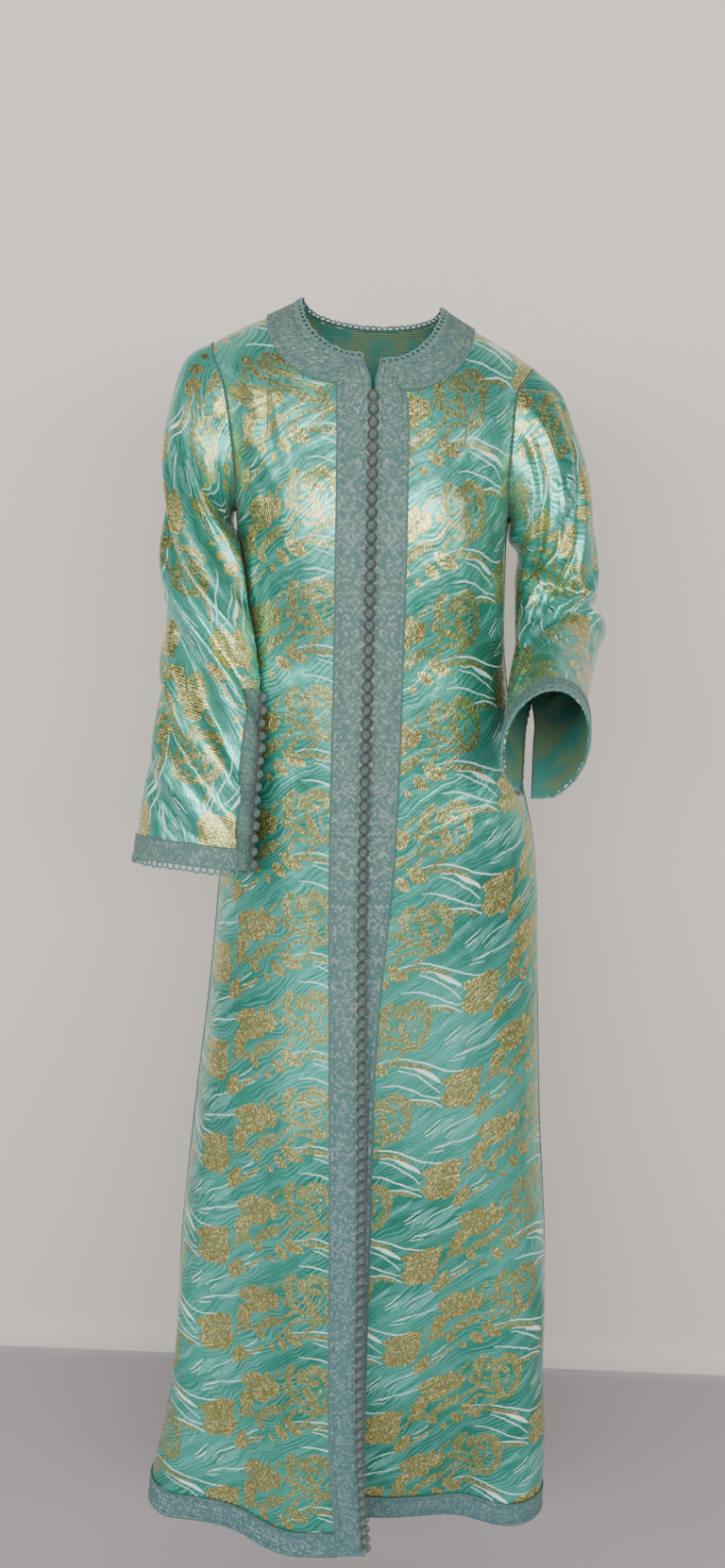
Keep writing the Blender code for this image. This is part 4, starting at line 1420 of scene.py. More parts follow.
class Finish:
    """A material that is made once and kept."""

    name = "finish"

    def __init__(self) -> None:
        """Starts with nothing made."""
        self.made: Material | None = None

    def dress(self, tree: Tree, shader: Node, sums: Sum) -> None:
        """Sets the shader's inputs; each finish has its own way.

        Args:
            tree: The material's node tree.
            shader: The shader in it.
            sums: Arithmetic in the tree.
        """

    def material(self) -> Material:
        """The finish as a material, made on first use."""
        if self.made is None:
            self.made = bpy.data.materials.new(self.name)
            self.made.use_nodes = True
            tree = self.made.node_tree
            self.dress(tree, tree.nodes["Principled BSDF"], Sum(tree))
        return self.made


def parts(tree: Tree, vector: Socket) -> Sequence[Socket]:
    """A vector's x, y and z."""
    return add_node(tree, "ShaderNodeSeparateXYZ", {0: vector}).outputs


def cloth_place(tree: Tree) -> tuple:
    """The place on the flat cloth, in metres.

    Args:
        tree: The node tree.

    Returns:
        The place as a vector, and its two parts.
    """
    uv = add_node(tree, "ShaderNodeUVMap", uv_map=UV_NAME).outputs[0]
    across, up, _ = parts(tree, uv)
    return uv, across, up


def own_place(tree: Tree) -> Socket:
    """The place in metres, in the piece's own coordinates."""
    return add_node(tree, "ShaderNodeTexCoord").outputs["Object"]


def raised(tree: Tree, height, depth: float, share=1.0, below=None) -> Socket:
    """A normal from a height, over a real depth in metres.

    Args:
        tree: The node tree.
        height: The socket that gives the height, from 0 to 1.
        depth: What a height of 1 is in metres.
        share: How much of it counts, a socket or a number.
        below: The normal of what lies under it.

    Returns:
        The normal.
    """
    inputs = {"Height": height, "Distance": depth, "Strength": share}
    if below is not None:
        inputs["Normal"] = below
    return add_node(tree, "ShaderNodeBump", inputs).outputs[0]


def noise(tree: Tree, vector: Socket, scale: float, detail: float = 2.0, rough: float = 0.5):
    """A noise texture's outputs.

    Args:
        tree: The node tree.
        vector: The place, in metres.
        scale: How many grains there are to a metre.
        detail: How many finer grains lie on them.
        rough: How strong those are.

    Returns:
        The outputs, of which the first is the value and the second the colour.
    """
    inputs = {"Vector": vector, "Scale": scale, "Detail": detail, "Roughness": rough}
    return add_node(tree, "ShaderNodeTexNoise", inputs).outputs


def drawn(tree: Tree, cell: Socket) -> Socket:
    """A random number for each cell, given its two numbers as a vector."""
    inputs = {"Vector": cell}
    return add_node(tree, "ShaderNodeTexWhiteNoise", inputs, noise_dimensions="2D").outputs[0]


def specks(tree: Tree, vector: Socket, size: tuple) -> Socket:
    """A random number for each small cell of yarn.

    Args:
        tree: The node tree.
        vector: The place, in metres.
        size: A cell's width and height in metres.

    Returns:
        The number, from 0 to 1.
    """
    inputs = {0: vector, 1: (1 / size[0], 1 / size[1], 1.0)}
    scaled = add_node(tree, "ShaderNodeVectorMath", inputs, operation="MULTIPLY")
    cell = add_node(tree, "ShaderNodeVectorMath", {0: scaled.outputs[0]}, operation="FLOOR")
    return drawn(tree, cell.outputs[0])


def stroke_group() -> Tree:
    """A node group that covers one motif of the repeat, 1 inside it and 0 outside."""
    group = bpy.data.node_groups.new("woven_stroke", "ShaderNodeTree")
    names = ("across", "up", *Stroke._fields)
    for name in names:
        group.interface.new_socket(name, in_out="INPUT", socket_type="NodeSocketFloat")
    group.interface.new_socket("cover", in_out="OUTPUT", socket_type="NodeSocketFloat")
    given = dict(zip(names, group.nodes.new("NodeGroupInput").outputs))
    sums = Sum(group)
    away = []
    for place, middle, size in (("across", "x", REPEAT_ACROSS), ("up", "y", REPEAT_UP)):
        apart = sums("SUBTRACT", given[place], given[middle])
        away.append(sums("WRAP", apart, size / 2, -size / 2))
    sine, cosine = sums("SINE", given["angle"]), sums("COSINE", given["angle"])
    along = sums("MULTIPLY_ADD", away[0], cosine, sums("MULTIPLY", away[1], sine))
    aside = sums("SUBTRACT", sums("MULTIPLY", away[1], cosine), sums("MULTIPLY", away[0], sine))
    square = sums("MULTIPLY", along, along)
    curve = sums("MULTIPLY_ADD", given["bend"], along, given["bow"])
    aside = sums("ABSOLUTE", sums("SUBTRACT", aside, sums("MULTIPLY", curve, square)))
    share = sums("DIVIDE", along, given["reach"])
    left = sums("MAXIMUM", sums("SUBTRACT", 1.0, sums("MULTIPLY", share, share)), 0.0)
    half = sums("MULTIPLY", given["width"], sums("POWER", left, given["blunt"]))
    cover = sums.smooth(-EDGE_SOFTNESS / 2, EDGE_SOFTNESS / 2, sums("SUBTRACT", half, aside))
    cover = sums("MULTIPLY", cover, sums.smooth(0.0, END_SOFTNESS, left))
    feed(group.nodes.new("NodeGroupOutput"), {0: cover})
    return group


class Brocade(Finish):
    """Jacquard brocade: aqua polyester satin with raised gold lurex and white viscose floats.

    The satin's long floats give a broad soft shine and slanting waves of its own tone. The gold
    is metallised yarn laid in upright ribs, so that it glitters; bright specks in its colour are
    painted glints. The white floats are silky.
    """

    name = "lurex_brocade"

    # Grains of noise to a metre: broad clouds first, single yarns last.
    SHADE = 5.0
    SWAY = 9.0
    CURL = 26.0
    BREAKS = 34.0
    WOBBLE = 55.0
    PUCKER = 75.0
    WEAR = 260.0
    FRAY = 420.0
    # Metres: the pitches of the satin's waves and of the gold ribs, a yarn's float, and depths.
    FINE_WAVE = 0.0052
    BROAD_WAVE = 0.0230
    RIB = 0.0030
    YARN = (0.0012, 0.0021)
    RIB_DEPTH = 0.00016
    PUCKER_DEPTH = 0.0007

    @staticmethod
    def woven(tree: Tree, across: Socket, up: Socket, sums: Sum) -> dict:
        """How much of each kind of thread shows at a place of the repeat.

        Args:
            tree: The node tree.
            across: The place across the repeat, in centimetres.
            up: The place up it.
            sums: Arithmetic in the tree.

        Returns:
            A cover from 0 to 1 for each kind of thread.
        """
        group = stroke_group()
        shown = {}
        for thread, strokes in MOTIFS.items():
            covers = []
            for stroke in strokes:
                sizes = stroke._replace(angle=math.radians(stroke.angle))
                inputs = {"across": across, "up": up, **sizes._asdict()}
                covers.append(add_node(tree, "ShaderNodeGroup", inputs, node_tree=group).outputs[0])
            shown[thread] = reduce(lambda first, second: sums("MAXIMUM", first, second), covers)
        return shown

    def dress(self, tree: Tree, shader: Node, sums: Sum) -> None:
        """Satin with waves, then pale and dark tones, white floats and gold on top."""
        uv, u, v = cloth_place(tree)
        wobble = noise(tree, uv, self.WOBBLE, 1.0)
        fray = noise(tree, uv, self.FRAY, 1.0)
        shift, frayed = parts(tree, wobble[1]), parts(tree, fray[1])
        moved = (
            sums("MULTIPLY_ADD", shift[k], 0.40, sums("MULTIPLY", frayed[k], 0.16)) for k in (0, 1)
        )
        places = (sums("MULTIPLY_ADD", p, 100.0, move) for p, move in zip((u, v), moved))
        shown = self.woven(tree, *places, sums)

        slant = sums("SUBTRACT", sums("MULTIPLY", v, 0.80), sums("MULTIPLY", u, 0.60))
        curl = noise(tree, uv, self.CURL, 1.0)[0]
        sway = sums("MULTIPLY_ADD", noise(tree, uv, self.SWAY)[0], 0.050, slant)
        swayed = sums("MULTIPLY_ADD", curl, 0.022, sway)
        turned = sums.wave(swayed, self.FINE_WAVE)
        broken = sums.smooth(0.42, 0.58, noise(tree, uv, self.BREAKS, 1.0)[0])
        line = sums("MULTIPLY", sums.smooth(0.72, 0.98, turned), broken)
        bright = sums("MULTIPLY", sums.smooth(-0.50, -0.94, turned), sums.smooth(0.38, 0.58, curl))
        dark = sums("MAXIMUM", sums("MULTIPLY", line, 0.80), shown[Thread.TONE])
        wave = sums.smooth(0.0, 0.95, sums.wave(swayed, self.BROAD_WAVE))
        pale = sums("MAXIMUM", sums("MULTIPLY", wave, 0.38), shown[Thread.PALE])
        pale = sums("MAXIMUM", pale, sums("MULTIPLY", bright, 0.95))
        shade = sums.smooth(0.35, 0.68, noise(tree, uv, self.SHADE)[0])
        base = sums.mix(shade, linear("#2A8270"), linear("#46A595"))
        base = sums.mix(sums("MULTIPLY", pale, 0.66), base, linear("#78CFC6"))
        base = sums.mix(sums("MULTIPLY", dark, 0.62), base, linear("#0F5142"))
        silk = sums.mix(fray[0], linear("#A2CEC2"), linear("#E6F0E8"))
        white = shown[Thread.WHITE]
        base = sums.mix(white, base, silk)

        # The gold yarn lies in ribs; in solid gold they almost touch.
        lean = sums("MULTIPLY_ADD", wobble[0], 0.0040, sums("MULTIPLY_ADD", v, -0.20, u))
        rib = sums.wave(lean, self.RIB)
        glint = specks(tree, uv, self.YARN)
        worn = noise(tree, uv, self.WEAR)[0]
        ribbed = sums("MULTIPLY", shown[Thread.ROPE], sums.smooth(-0.55, 0.15, rib))
        mottled = sums("MULTIPLY_ADD", worn, 4.0, sums("SUBTRACT", rib, 2.0))
        solid = sums("MULTIPLY", shown[Thread.GOLD], sums.smooth(-1.90, -0.80, mottled))
        gold = sums("MAXIMUM", ribbed, solid)
        gold = sums("MULTIPLY", gold, sums("SUBTRACT", 1.0, shown[Thread.BARE]))
        whole = sums("MULTIPLY_ADD", sums.smooth(0.35, 0.60, worn), 0.22, 0.66)
        gold = sums("MULTIPLY", gold, whole)
        # Painted glints: random cells of the gold yarn are lightened from its own khaki to near
        # white.
        yarn = sums.mix(sums.smooth(0.55, 0.95, glint), linear("#A89E58"), linear("#FDF5B4"))
        under = sums("MAXIMUM", shown[Thread.GOLD], shown[Thread.ROPE])
        base = sums.mix(sums("MULTIPLY", under, 0.62), base, linear("#7A8244"))

        pucker = noise(tree, uv, self.PUCKER)[0]
        height = sums("MULTIPLY_ADD", line, -0.35, sums("MULTIPLY_ADD", wave, 0.25, pucker))
        ribs = sums("MULTIPLY_ADD", glint, 0.6, sums.smooth(-1.0, 0.4, rib))
        metal = sums("MULTIPLY", sums("SUBTRACT", 1.0, white), 0.62)
        rough = sums.blend(gold, sums.blend(pale, 0.30, 0.25), sums.blend(glint, 0.18, 0.30))
        ground = raised(tree, height, self.PUCKER_DEPTH)
        looks = {
            "Base Color": sums.mix(gold, base, yarn),
            "Metallic": sums.blend(gold, metal, 0.95),
            "Roughness": rough,
            "Sheen Weight": 0.06,
            "Sheen Roughness": 0.4,
            "Normal": raised(tree, ribs, self.RIB_DEPTH, gold, ground),
        }
        feed(shader, looks)


class WrongSide(Finish):
    """The brocade's back, where cut floats make it matt and mixed in colour."""

    name = "brocade_wrong_side"
    CLOUD = 24.0
    WEFT = 0.0020
    WEFT_DEPTH = 0.0002

    def dress(self, tree: Tree, shader: Node, sums: Sum) -> None:
        """Dull teal with olive clouds and weft lines."""
        uv, _, v = cloth_place(tree)
        cloud = sums.smooth(0.42, 0.60, noise(tree, uv, self.CLOUD, 3.0)[0])
        colour = sums.mix(sums("MULTIPLY", cloud, 0.55), linear("#3B8378"), linear("#7C8352"))
        weft = raised(tree, sums.wave(v, self.WEFT), self.WEFT_DEPTH)
        feed(shader, {"Base Color": colour, "Roughness": 0.7, "Normal": weft})


class PlaitedBraid(Finish):
    """Machine-plaited lurex braid: matt grey-teal yarn in herringbone rows with silver specks."""

    name = "plaited_lurex_braid"
    # Metres: the columns' width, the ribs' pitch, where the stitches run, and the ribs' depth.
    COLUMN = 0.0030
    RIB = 0.0020
    STITCH = 0.0112
    DEPTH = 0.0005
    # Grains of noise to a metre.
    PATCH = 60.0
    FIBRE = 700.0

    def dress(self, tree: Tree, shader: Node, sums: Sum) -> None:
        """Herringbone columns with ribs, painted shade between the ribs, and silver dashes on them.
        """
        uv, u, v = cloth_place(tree)
        row = sums("FRACT", sums("MULTIPLY_ADD", u, 0.5 / self.COLUMN, 0.5))
        row = sums("ABSOLUTE", sums("SUBTRACT", row, 0.5))
        along = sums("MULTIPLY_ADD", v, 2 * math.pi / self.RIB, sums("MULTIPLY", row, 18.0))
        rib = sums("MULTIPLY_ADD", sums("SINE", along), 0.5, 0.5)
        column = sums("FLOOR", sums("MULTIPLY", u, 1 / self.COLUMN))
        turn = sums("FLOOR", sums("MULTIPLY_ADD", along, 0.5 / math.pi, 0.25))
        cell = add_node(tree, "ShaderNodeCombineXYZ", {0: column, 1: turn}).outputs[0]
        chance = drawn(tree, cell)
        grain = noise(tree, uv, self.FIBRE, 2.0, 0.7)[0]
        bright = sums("MULTIPLY_ADD", grain, 0.5, sums("MULTIPLY", chance, 0.6))
        bright = sums.smooth(0.52, 0.90, bright)
        silver = sums("MULTIPLY", bright, sums.smooth(0.45, 0.95, rib))
        # Painted light: below the waist the braid's colours turn bluer, a painted cool cast of the
        # light there.
        low = sums.smooth(-0.35, -1.35, parts(tree, own_place(tree))[2])
        patch = sums.smooth(0.40, 0.60, noise(tree, uv, self.PATCH)[0])
        ground = sums.mix(patch, linear("#5C857A"), linear("#577C7F"))
        ground = sums.mix(low, ground, linear("#4F8084"))
        dark = sums.mix(low, linear("#314D4A"), linear("#2C4A51"))
        # Painted shade: the dark colour fills the grooves between the ribs.
        share = sums("MULTIPLY_ADD", rib, 0.70, sums("MULTIPLY", grain, 0.35))
        stitched = sums("ABSOLUTE", sums("SUBTRACT", sums("ABSOLUTE", u), self.STITCH))
        stitched = sums("MULTIPLY", sums.smooth(0.0007, 0.0003, stitched), 0.7)
        share = sums("MULTIPLY", share, sums("SUBTRACT", 1.0, stitched))
        looks = {
            "Base Color": sums.mix(silver, sums.mix(share, dark, ground), linear("#CBD8D4")),
            "Metallic": sums("MULTIPLY", silver, 0.8),
            "Roughness": sums.blend(silver, 0.60, 0.30),
            "Normal": raised(tree, sums("MULTIPLY_ADD", grain, 0.5, rib), self.DEPTH),
        }
        feed(shader, looks)


class WoundCord(Finish):
    """Twisted rayon cord, with painted shade between its plies."""

    PLY = 0.0017
    PLY_DEPTH = 0.0003
    FIBRE = 800.0

    def __init__(self, name: str, light: str, dark: str) -> None:
        """Sets the cord's own colour and the painted shade between its plies."""
        super().__init__()
        self.name = name
        self.light = light
        self.dark = dark

    def dress(self, tree: Tree, shader: Node, sums: Sum) -> None:
        """Plies that slant round the cord, with painted shade between them."""
        place = own_place(tree)
        x, y, z = parts(tree, place)
        wave = sums.wave(sums("MULTIPLY_ADD", sums("ADD", x, y), 0.8, z), self.PLY)
        grain = sums("ADD", noise(tree, place, self.FIBRE)[0], 0.35)
        # Painted shade: the cord turns to its dark tone in the grooves between the plies.
        share = sums("MULTIPLY", sums.smooth(-0.8, 0.5, wave), grain)
        looks = {
            "Base Color": sums.mix(share, linear(self.dark), linear(self.light)),
            "Roughness": 0.5,
            "Sheen Weight": 0.2,
            "Normal": raised(tree, wave, self.PLY_DEPTH),
        }
        feed(shader, looks)


class MattPaper(Finish):
    """Matt studio paper, for the floor and the backdrop."""

    def __init__(self, name: str, colour: str) -> None:
        """Sets the paper's colour."""
        super().__init__()
        self.name = name
        self.colour = colour

    def dress(self, tree: Tree, shader: Node, sums: Sum) -> None:
        """One pale colour without shine."""
        feed(shader, {"Base Color": linear(self.colour), "Roughness": 0.9})


@dataclass(frozen=True)
class Finishes:
    """Every finish of the kaftan and its studio."""

    brocade: Finish
    wrong_side: Finish
    braid: Finish
    cord: Finish
    edge: Finish
    loop: Finish
    shade: Finish
    picot: Finish
    paper: Finish
    floor: Finish


def make_finishes() -> Finishes:
    """Every finish, with its colours."""
    return Finishes(
        brocade=Brocade(),
        wrong_side=WrongSide(),
        braid=PlaitedBraid(),
        cord=WoundCord("rayon_knot_cord", "#64827E", "#22373A"),
        edge=WoundCord("rayon_edge_cord", "#4F7C7C", "#264649"),
        loop=WoundCord("rayon_loop_cord", "#6E625A", "#36302D"),
        # A dark cord that is painted shade behind the knots, not a real cord.
        shade=WoundCord("rayon_painted_shade_cord", "#2F4646", "#141F20"),
        picot=WoundCord("rayon_picot_cord", "#6FA09C", "#2F5A5B"),
        paper=MattPaper("matt_wall_paper", "#D0C9C2"),
        floor=MattPaper("matt_floor_paper", "#A6A2A7"),
    )


class Shape(Enum):
    """A small thing that repeats along a line."""

    KNOT = "knot"
    RING = "ring"


@dataclass(frozen=True)
class RepeatSize:
    """How big a repeated thing is, and how unlike its neighbours, in metres and as a share."""

    radius: float
    thickness: float = 0.0
    stretch: float = 1.0
    spread: float = 0.04


class Repeats:
    """Copies of a small thing on a row of places, set out by Geometry Nodes and baked."""

    SEED = 7
    INPUTS = {
        "Places": "Geometry",
        "Radius": "Float",
        "Thickness": "Float",
        "Stretch": "Float",
        "Spread": "Float",
        "Material": "Material",
    }

    def __init__(self, shape: Shape) -> None:
        """Builds the node tree for one shape.

        Args:
            shape: What is repeated.
        """
        self.tree = bpy.data.node_groups.new(f"repeat_{shape.value}", "GeometryNodeTree")
        face = self.tree.interface
        for name, kind in self.INPUTS.items():
            face.new_socket(name, in_out="INPUT", socket_type=f"NodeSocket{kind}")
        face.new_socket("Geometry", in_out="OUTPUT", socket_type="NodeSocketGeometry")
        given = {socket.name: socket for socket in self.tree.nodes.new("NodeGroupInput").outputs}
        thing = self.knot(given) if shape is Shape.KNOT else self.ring(given)
        grown = self.node("ShaderNodeCombineXYZ", {0: 1.0, 1: 1.0, 2: given["Stretch"]})
        placing = {
            "Points": self.node("GeometryNodeMeshToPoints", {0: given["Places"]}),
            "Instance": self.node("GeometryNodeTransform", {0: thing, 3: grown}),
            "Rotation": self.rotation(),
            "Scale": self.scale(given["Spread"]),
        }
        placed = self.node("GeometryNodeInstanceOnPoints", placing)
        real = self.node("GeometryNodeRealizeInstances", {0: placed})
        painting = {0: real, "Material": given["Material"]}
        painted = self.node("GeometryNodeSetMaterial", painting)
        feed(self.tree.nodes.new("NodeGroupOutput"), {0: painted})

    def node(self, kind: str, inputs: dict, **settings) -> Socket:
        """Adds a node to the tree and gives its first output."""
        return add_node(self.tree, kind, inputs, **settings).outputs[0]

    def knot(self, given: dict) -> Socket:
        """A round knot."""
        inputs = {"Segments": 14, "Rings": 9, "Radius": given["Radius"]}
        return self.node("GeometryNodeMeshUVSphere", inputs)

    def ring(self, given: dict) -> Socket:
        """A ring of thin cord.

        Args:
            given: The tree's inputs by name.

        Returns:
            The ring's mesh.
        """
        circles = {}
        for k, (name, steps) in enumerate((("Radius", 16), ("Thickness", 6))):
            inputs = {"Resolution": steps, "Radius": given[name]}
            circles[k] = self.node("GeometryNodeCurvePrimitiveCircle", inputs)
        return self.node("GeometryNodeCurveToMesh", circles)

    def rotation(self) -> Socket:
        """Turns each thing's Z along the place's aim and its X towards the place's side."""
        turned = {}
        for name, axis, pivot in (("aim", "Z", "AUTO"), ("side", "X", "Z")):
            kind = "GeometryNodeInputNamedAttribute"
            read = add_node(self.tree, kind, {"Name": name}, data_type="FLOAT_VECTOR")
            inputs = {"Vector": read.outputs["Attribute"], **turned}
            kind = "FunctionNodeAlignRotationToVector"
            turned = {"Rotation": self.node(kind, inputs, axis=axis, pivot_axis=pivot)}
        return turned["Rotation"]

    def scale(self, spread: Socket) -> Socket:
        """A size for each thing, a little under or over 1.

        Args:
            spread: How far it may be from 1.

        Returns:
            The size.
        """
        low, high = (
            self.node("ShaderNodeMath", {0: 1.0, 1: spread}, operation=operation)
            for operation in ("SUBTRACT", "ADD")
        )
        inputs = {2: low, 3: high, "Seed": self.SEED}
        return add_node(self.tree, "FunctionNodeRandomValue", inputs, data_type="FLOAT").outputs[1]

    def place(self, name: str, row: Row, size: RepeatSize, material: Material) -> Item:
        """Sets the things out on a row of places.

        Args:
            name: The new piece's name.
            row: The places.
            size: How big each thing is.
            material: What it is made of.

        Returns:
            The piece, as one mesh.
        """
        item = mesh_piece(name, row.points, [], [])
        for key, values in (("aim", row.aims), ("side", row.sides)):
            layer = item.data.attributes.new(key, "FLOAT_VECTOR", "POINT")
            layer.data.foreach_set("vector", np.asarray(values, np.float32).reshape(-1))
        modifier = item.modifiers.new("repeat", "NODES")
        modifier.node_group = self.tree
        wanted = {key.capitalize(): value for key, value in asdict(size).items()}
        wanted["Material"] = material
        for socket in self.tree.interface.items_tree:
            if socket.in_out == "INPUT" and socket.name in wanted:
                modifier[socket.identifier] = wanted[socket.name]
        bpy.context.view_layer.update()
        ready = item.evaluated_get(bpy.context.evaluated_depsgraph_get())
        item.data = bpy.data.meshes.new_from_object(ready)
        item.modifiers.clear()
        item.data.shade_smooth()
        return item


@dataclass
class Row:
    """A row of places, each with the way its thing's Z points and the way its X does."""

    points: Array
    aims: Array
    sides: Array


@dataclass
class Line:
    """A line on the cloth, with the ways out of the cloth along it."""

    points: Array
    outs: Array

    def ways(self) -> Array:
        """The way along the line at each of its points."""
        return unit(np.gradient(self.points, axis=0))

    def lifted(self, distance: float) -> Line:
        """The same line further out."""
        return Line(self.points + self.outs * distance, self.outs)

    def stepped(self, pitch: float) -> Line:
        """The line as evenly spaced points, about a pitch apart."""
        length = arc(self.points)
        count = max(2, int(round(length[-1] / pitch)))
        wanted = (np.arange(count) + 0.5) / count * length[-1]
        points, outs = (read_at(wanted, length, values) for values in (self.points, self.outs))
        return Line(points, unit(outs))


def cord_piece(name: str, lines: Sequence[Line], radius: float, material: Material) -> Item:
    """Round cords along lines, as one piece.

    Args:
        name: The piece's name.
        lines: Their centrelines.
        radius: The cords' radius.
        material: Their material.

    Returns:
        The piece.
    """
    sides = 8
    turn = np.radians(np.arange(sides) * 360 / sides)
    vertices, faces, base = [], [], 0
    for line in lines:
        aside = unit(np.cross(line.ways(), line.outs))
        out = np.cross(aside, line.ways())
        ring = out[:, None] * np.cos(turn)[:, None] + aside[:, None] * np.sin(turn)[:, None]
        vertices.append((line.points[:, None] + ring * radius).reshape(-1, 3))
        count = len(line.points)
        number = base + np.arange(count * sides).reshape(count, sides)
        after = np.roll(number, -1, axis=1)
        quads = np.stack([number[:-1], number[1:], after[1:], after[:-1]], axis=-1)
        faces += quads.reshape(-1, 4).tolist()
        faces += [number[0].tolist(), number[-1][::-1].tolist()]
        base += count * sides
    return mesh_piece(name, np.concatenate(vertices), faces, [material])


def enrol(item: Item, nodes: Sequence[str], sheet: Sheet | None = None) -> Item:
    """Ties a piece to the frame.

    Args:
        item: The piece.
        nodes: The solids that it stands for.
        sheet: Its grid, if it is a sheet of cloth.

    Returns:
        The piece.
    """
    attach(item, BODY)
    if nodes:
        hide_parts(*nodes)
    if sheet is not None:
        width = float(arc(sheet.points, axis=1)[:, -1].max())
        length = float(arc(sheet.points, axis=0)[-1].max())
        area = min(sheet.area(), width * length)
        LOG.info("%s: flat %.3f by %.3f m, %.4f m2", item.name, width, length, area)
    LOG.info("%s: %d faces", item.name, len(item.data.polygons))
    return item


class Kaftan:
    """The kaftan's cloth, braids, cords, knots and loops, each on the form of its solid."""

    BUTTON_RISE = LIFT + BRAID_THICK + 0.0038
    BESIDE_EDGE = 0.003
    FIRST_BUTTON = -0.098
    GROUPS = 8
    IN_GROUP = 13
    PITCH = 0.0128
    SLIT_KNOTS = 14
    KNOT_CLEARANCE = 0.0055
    NECK_EASE = 0.0016
    NECK_STEPS = 48
    EDGE_SHARE = 0.7
    KNOT = RepeatSize(0.0041, stretch=1.12)
    LOOP = RepeatSize(0.0056, 0.0008)
    LOOP_DEPTH = 0.0022
    # Painted shade: a dark cord behind the knots; its radius and how far behind them it lies.
    PAINTED_SHADE_RADIUS = 0.0030
    PAINTED_SHADE_DEPTH = 0.0034
    PICOT_CORD = 0.0011
    PICOT_SPREAD = 0.16
    DART_X = 0.103
    DART_TOP = -0.055
    DART_FOOT = -0.150
    # How far apart the picots are, their radius, and how far past the edge their middles lie.
    NECK_PICOTS = (0.0066, 0.0036, 0.0015)
    CUFF_PICOTS = (0.0078, 0.0044, 0.0025)
    # How far each seam's cord is lifted out of the cloth, and its radius.
    SEAM_CORDS = {
        "side": (0.0006, 0.0013),
        "dart": (-0.0004, 0.0008),
        "armhole": (0.0002, 0.0009),
    }

    def __init__(self, finishes: Finishes) -> None:
        """Works out every sheet.

        Args:
            finishes: The materials.
        """
        self.finishes = finishes
        self.panels = Panels(BodyForm())
        self.fronts = {side: self.panels.front(side) for side in (-1, 1)}
        self.back = self.panels.back()
        self.cuts = {side: SleeveCut(side, self.panels) for side in (-1, 1)}
        self.sleeves = {s: cut.sheet(self.fronts[s], self.back) for s, cut in self.cuts.items()}
        self.knots = Repeats(Shape.KNOT)
        self.rings = Repeats(Shape.RING)

    def build(self) -> None:
        """Makes every piece, cloth first."""
        self.cloth()
        self.front_trim()
        self.neck_trim()
        for side in (-1, 1):
            self.sleeve_trim(side)
        self.seams()

    def shell(self, node: str, sheet: Sheet) -> None:
        """One panel of brocade."""
        materials = self.finishes.brocade.material(), self.finishes.wrong_side.material()
        enrol(wall(f"cloth_{node}", sheet, -CLOTH, 0.0, materials), [node], sheet)

    def cloth(self) -> None:
        """The five panels."""
        for side, word in SIDE_WORD.items():
            self.shell(f"front_{word}", self.fronts[side])
            self.shell(f"sleeve_{word}", self.sleeves[side])
        self.shell("back", self.back)

    def strip(self, node: str, sheet: Sheet, axis: int) -> list:
        """One braid, with its places laid across and along it, and its two edge lines.

        Args:
            node: The solid that it stands for.
            sheet: Its grid.
            axis: The grid's axis that runs across the braid.

        Returns:
            The lines of its edge cords.
        """
        across, along = arc(sheet.points, axis=axis), arc(sheet.points, axis=1 - axis)
        across = across - across.mean(axis=axis, keepdims=True)
        along = np.broadcast_to(along.mean(axis=axis, keepdims=True), along.shape)
        sheet = replace(sheet, flat=np.stack([across, along], axis=-1))
        braid = [self.finishes.braid.material()]
        enrol(wall(f"tape_{node}", sheet, LIFT, LIFT + BRAID_THICK, braid), [node], sheet)
        points, outs = np.swapaxes(sheet.points, 0, axis), np.swapaxes(sheet.normals, 0, axis)
        rise = LIFT + self.EDGE_SHARE * BRAID_THICK
        return [Line(points[k], outs[k]).lifted(rise) for k in (0, -1)]

    def edge_cords(self, name: str, lines: Sequence[Line], radius: float = 0.0011) -> None:
        """The dark cords that finish braids' edges."""
        enrol(cord_piece(name, lines, radius, self.finishes.edge.material()), [])

    def front_trim(self) -> None:
        """The front and hem braids, and the knots and loops between the fronts."""
        panels = self.panels
        wide = panels.braid_columns + 1
        lines, hems = [], []
        for side, word in SIDE_WORD.items():
            strip = self.fronts[side].part(slice(0, panels.neck_row + 1), slice(0, wide))
            lines += self.strip(f"front_braid_{word}", strip.drawn_in(0, 0.0, SEAM_GAP / 2), 1)
            hem = self.fronts[side].part(slice(0, panels.braid_rows + 1), slice(wide - 1, None))
            hems += self.strip(f"hem_braid_{word}", hem.drawn_in(1, SEAM_GAP, 0.0), 0)
        hem = self.back.part(slice(0, panels.braid_rows + 1), slice(None))
        hems += self.strip("hem_braid_back", hem, 0)
        self.edge_cords("edge_cords_front", lines)
        self.edge_cords("edge_cords_hem", hems)
        edge = self.fronts[-1].points[:, 0]
        edge = edge[np.argsort(edge[:, 2])]
        knots = (np.arange(self.IN_GROUP) + 0.5) * self.PITCH
        group = self.IN_GROUP * self.PITCH + 2 * SEAM_GAP
        z = np.concatenate([self.FIRST_BUTTON - g * group - knots for g in range(self.GROUPS)])
        points = read_at(z, edge[:, 2], edge)
        points += np.array((self.BESIDE_EDGE, -self.BUTTON_RISE, 0.0))
        nodes = [f"front_buttons_{g + 1}" for g in range(self.GROUPS)]
        ahead = np.tile((0.0, -1.0, 0.0), (len(z), 1))
        self.knot_row("knots_front", points, Line(points, ahead), nodes)

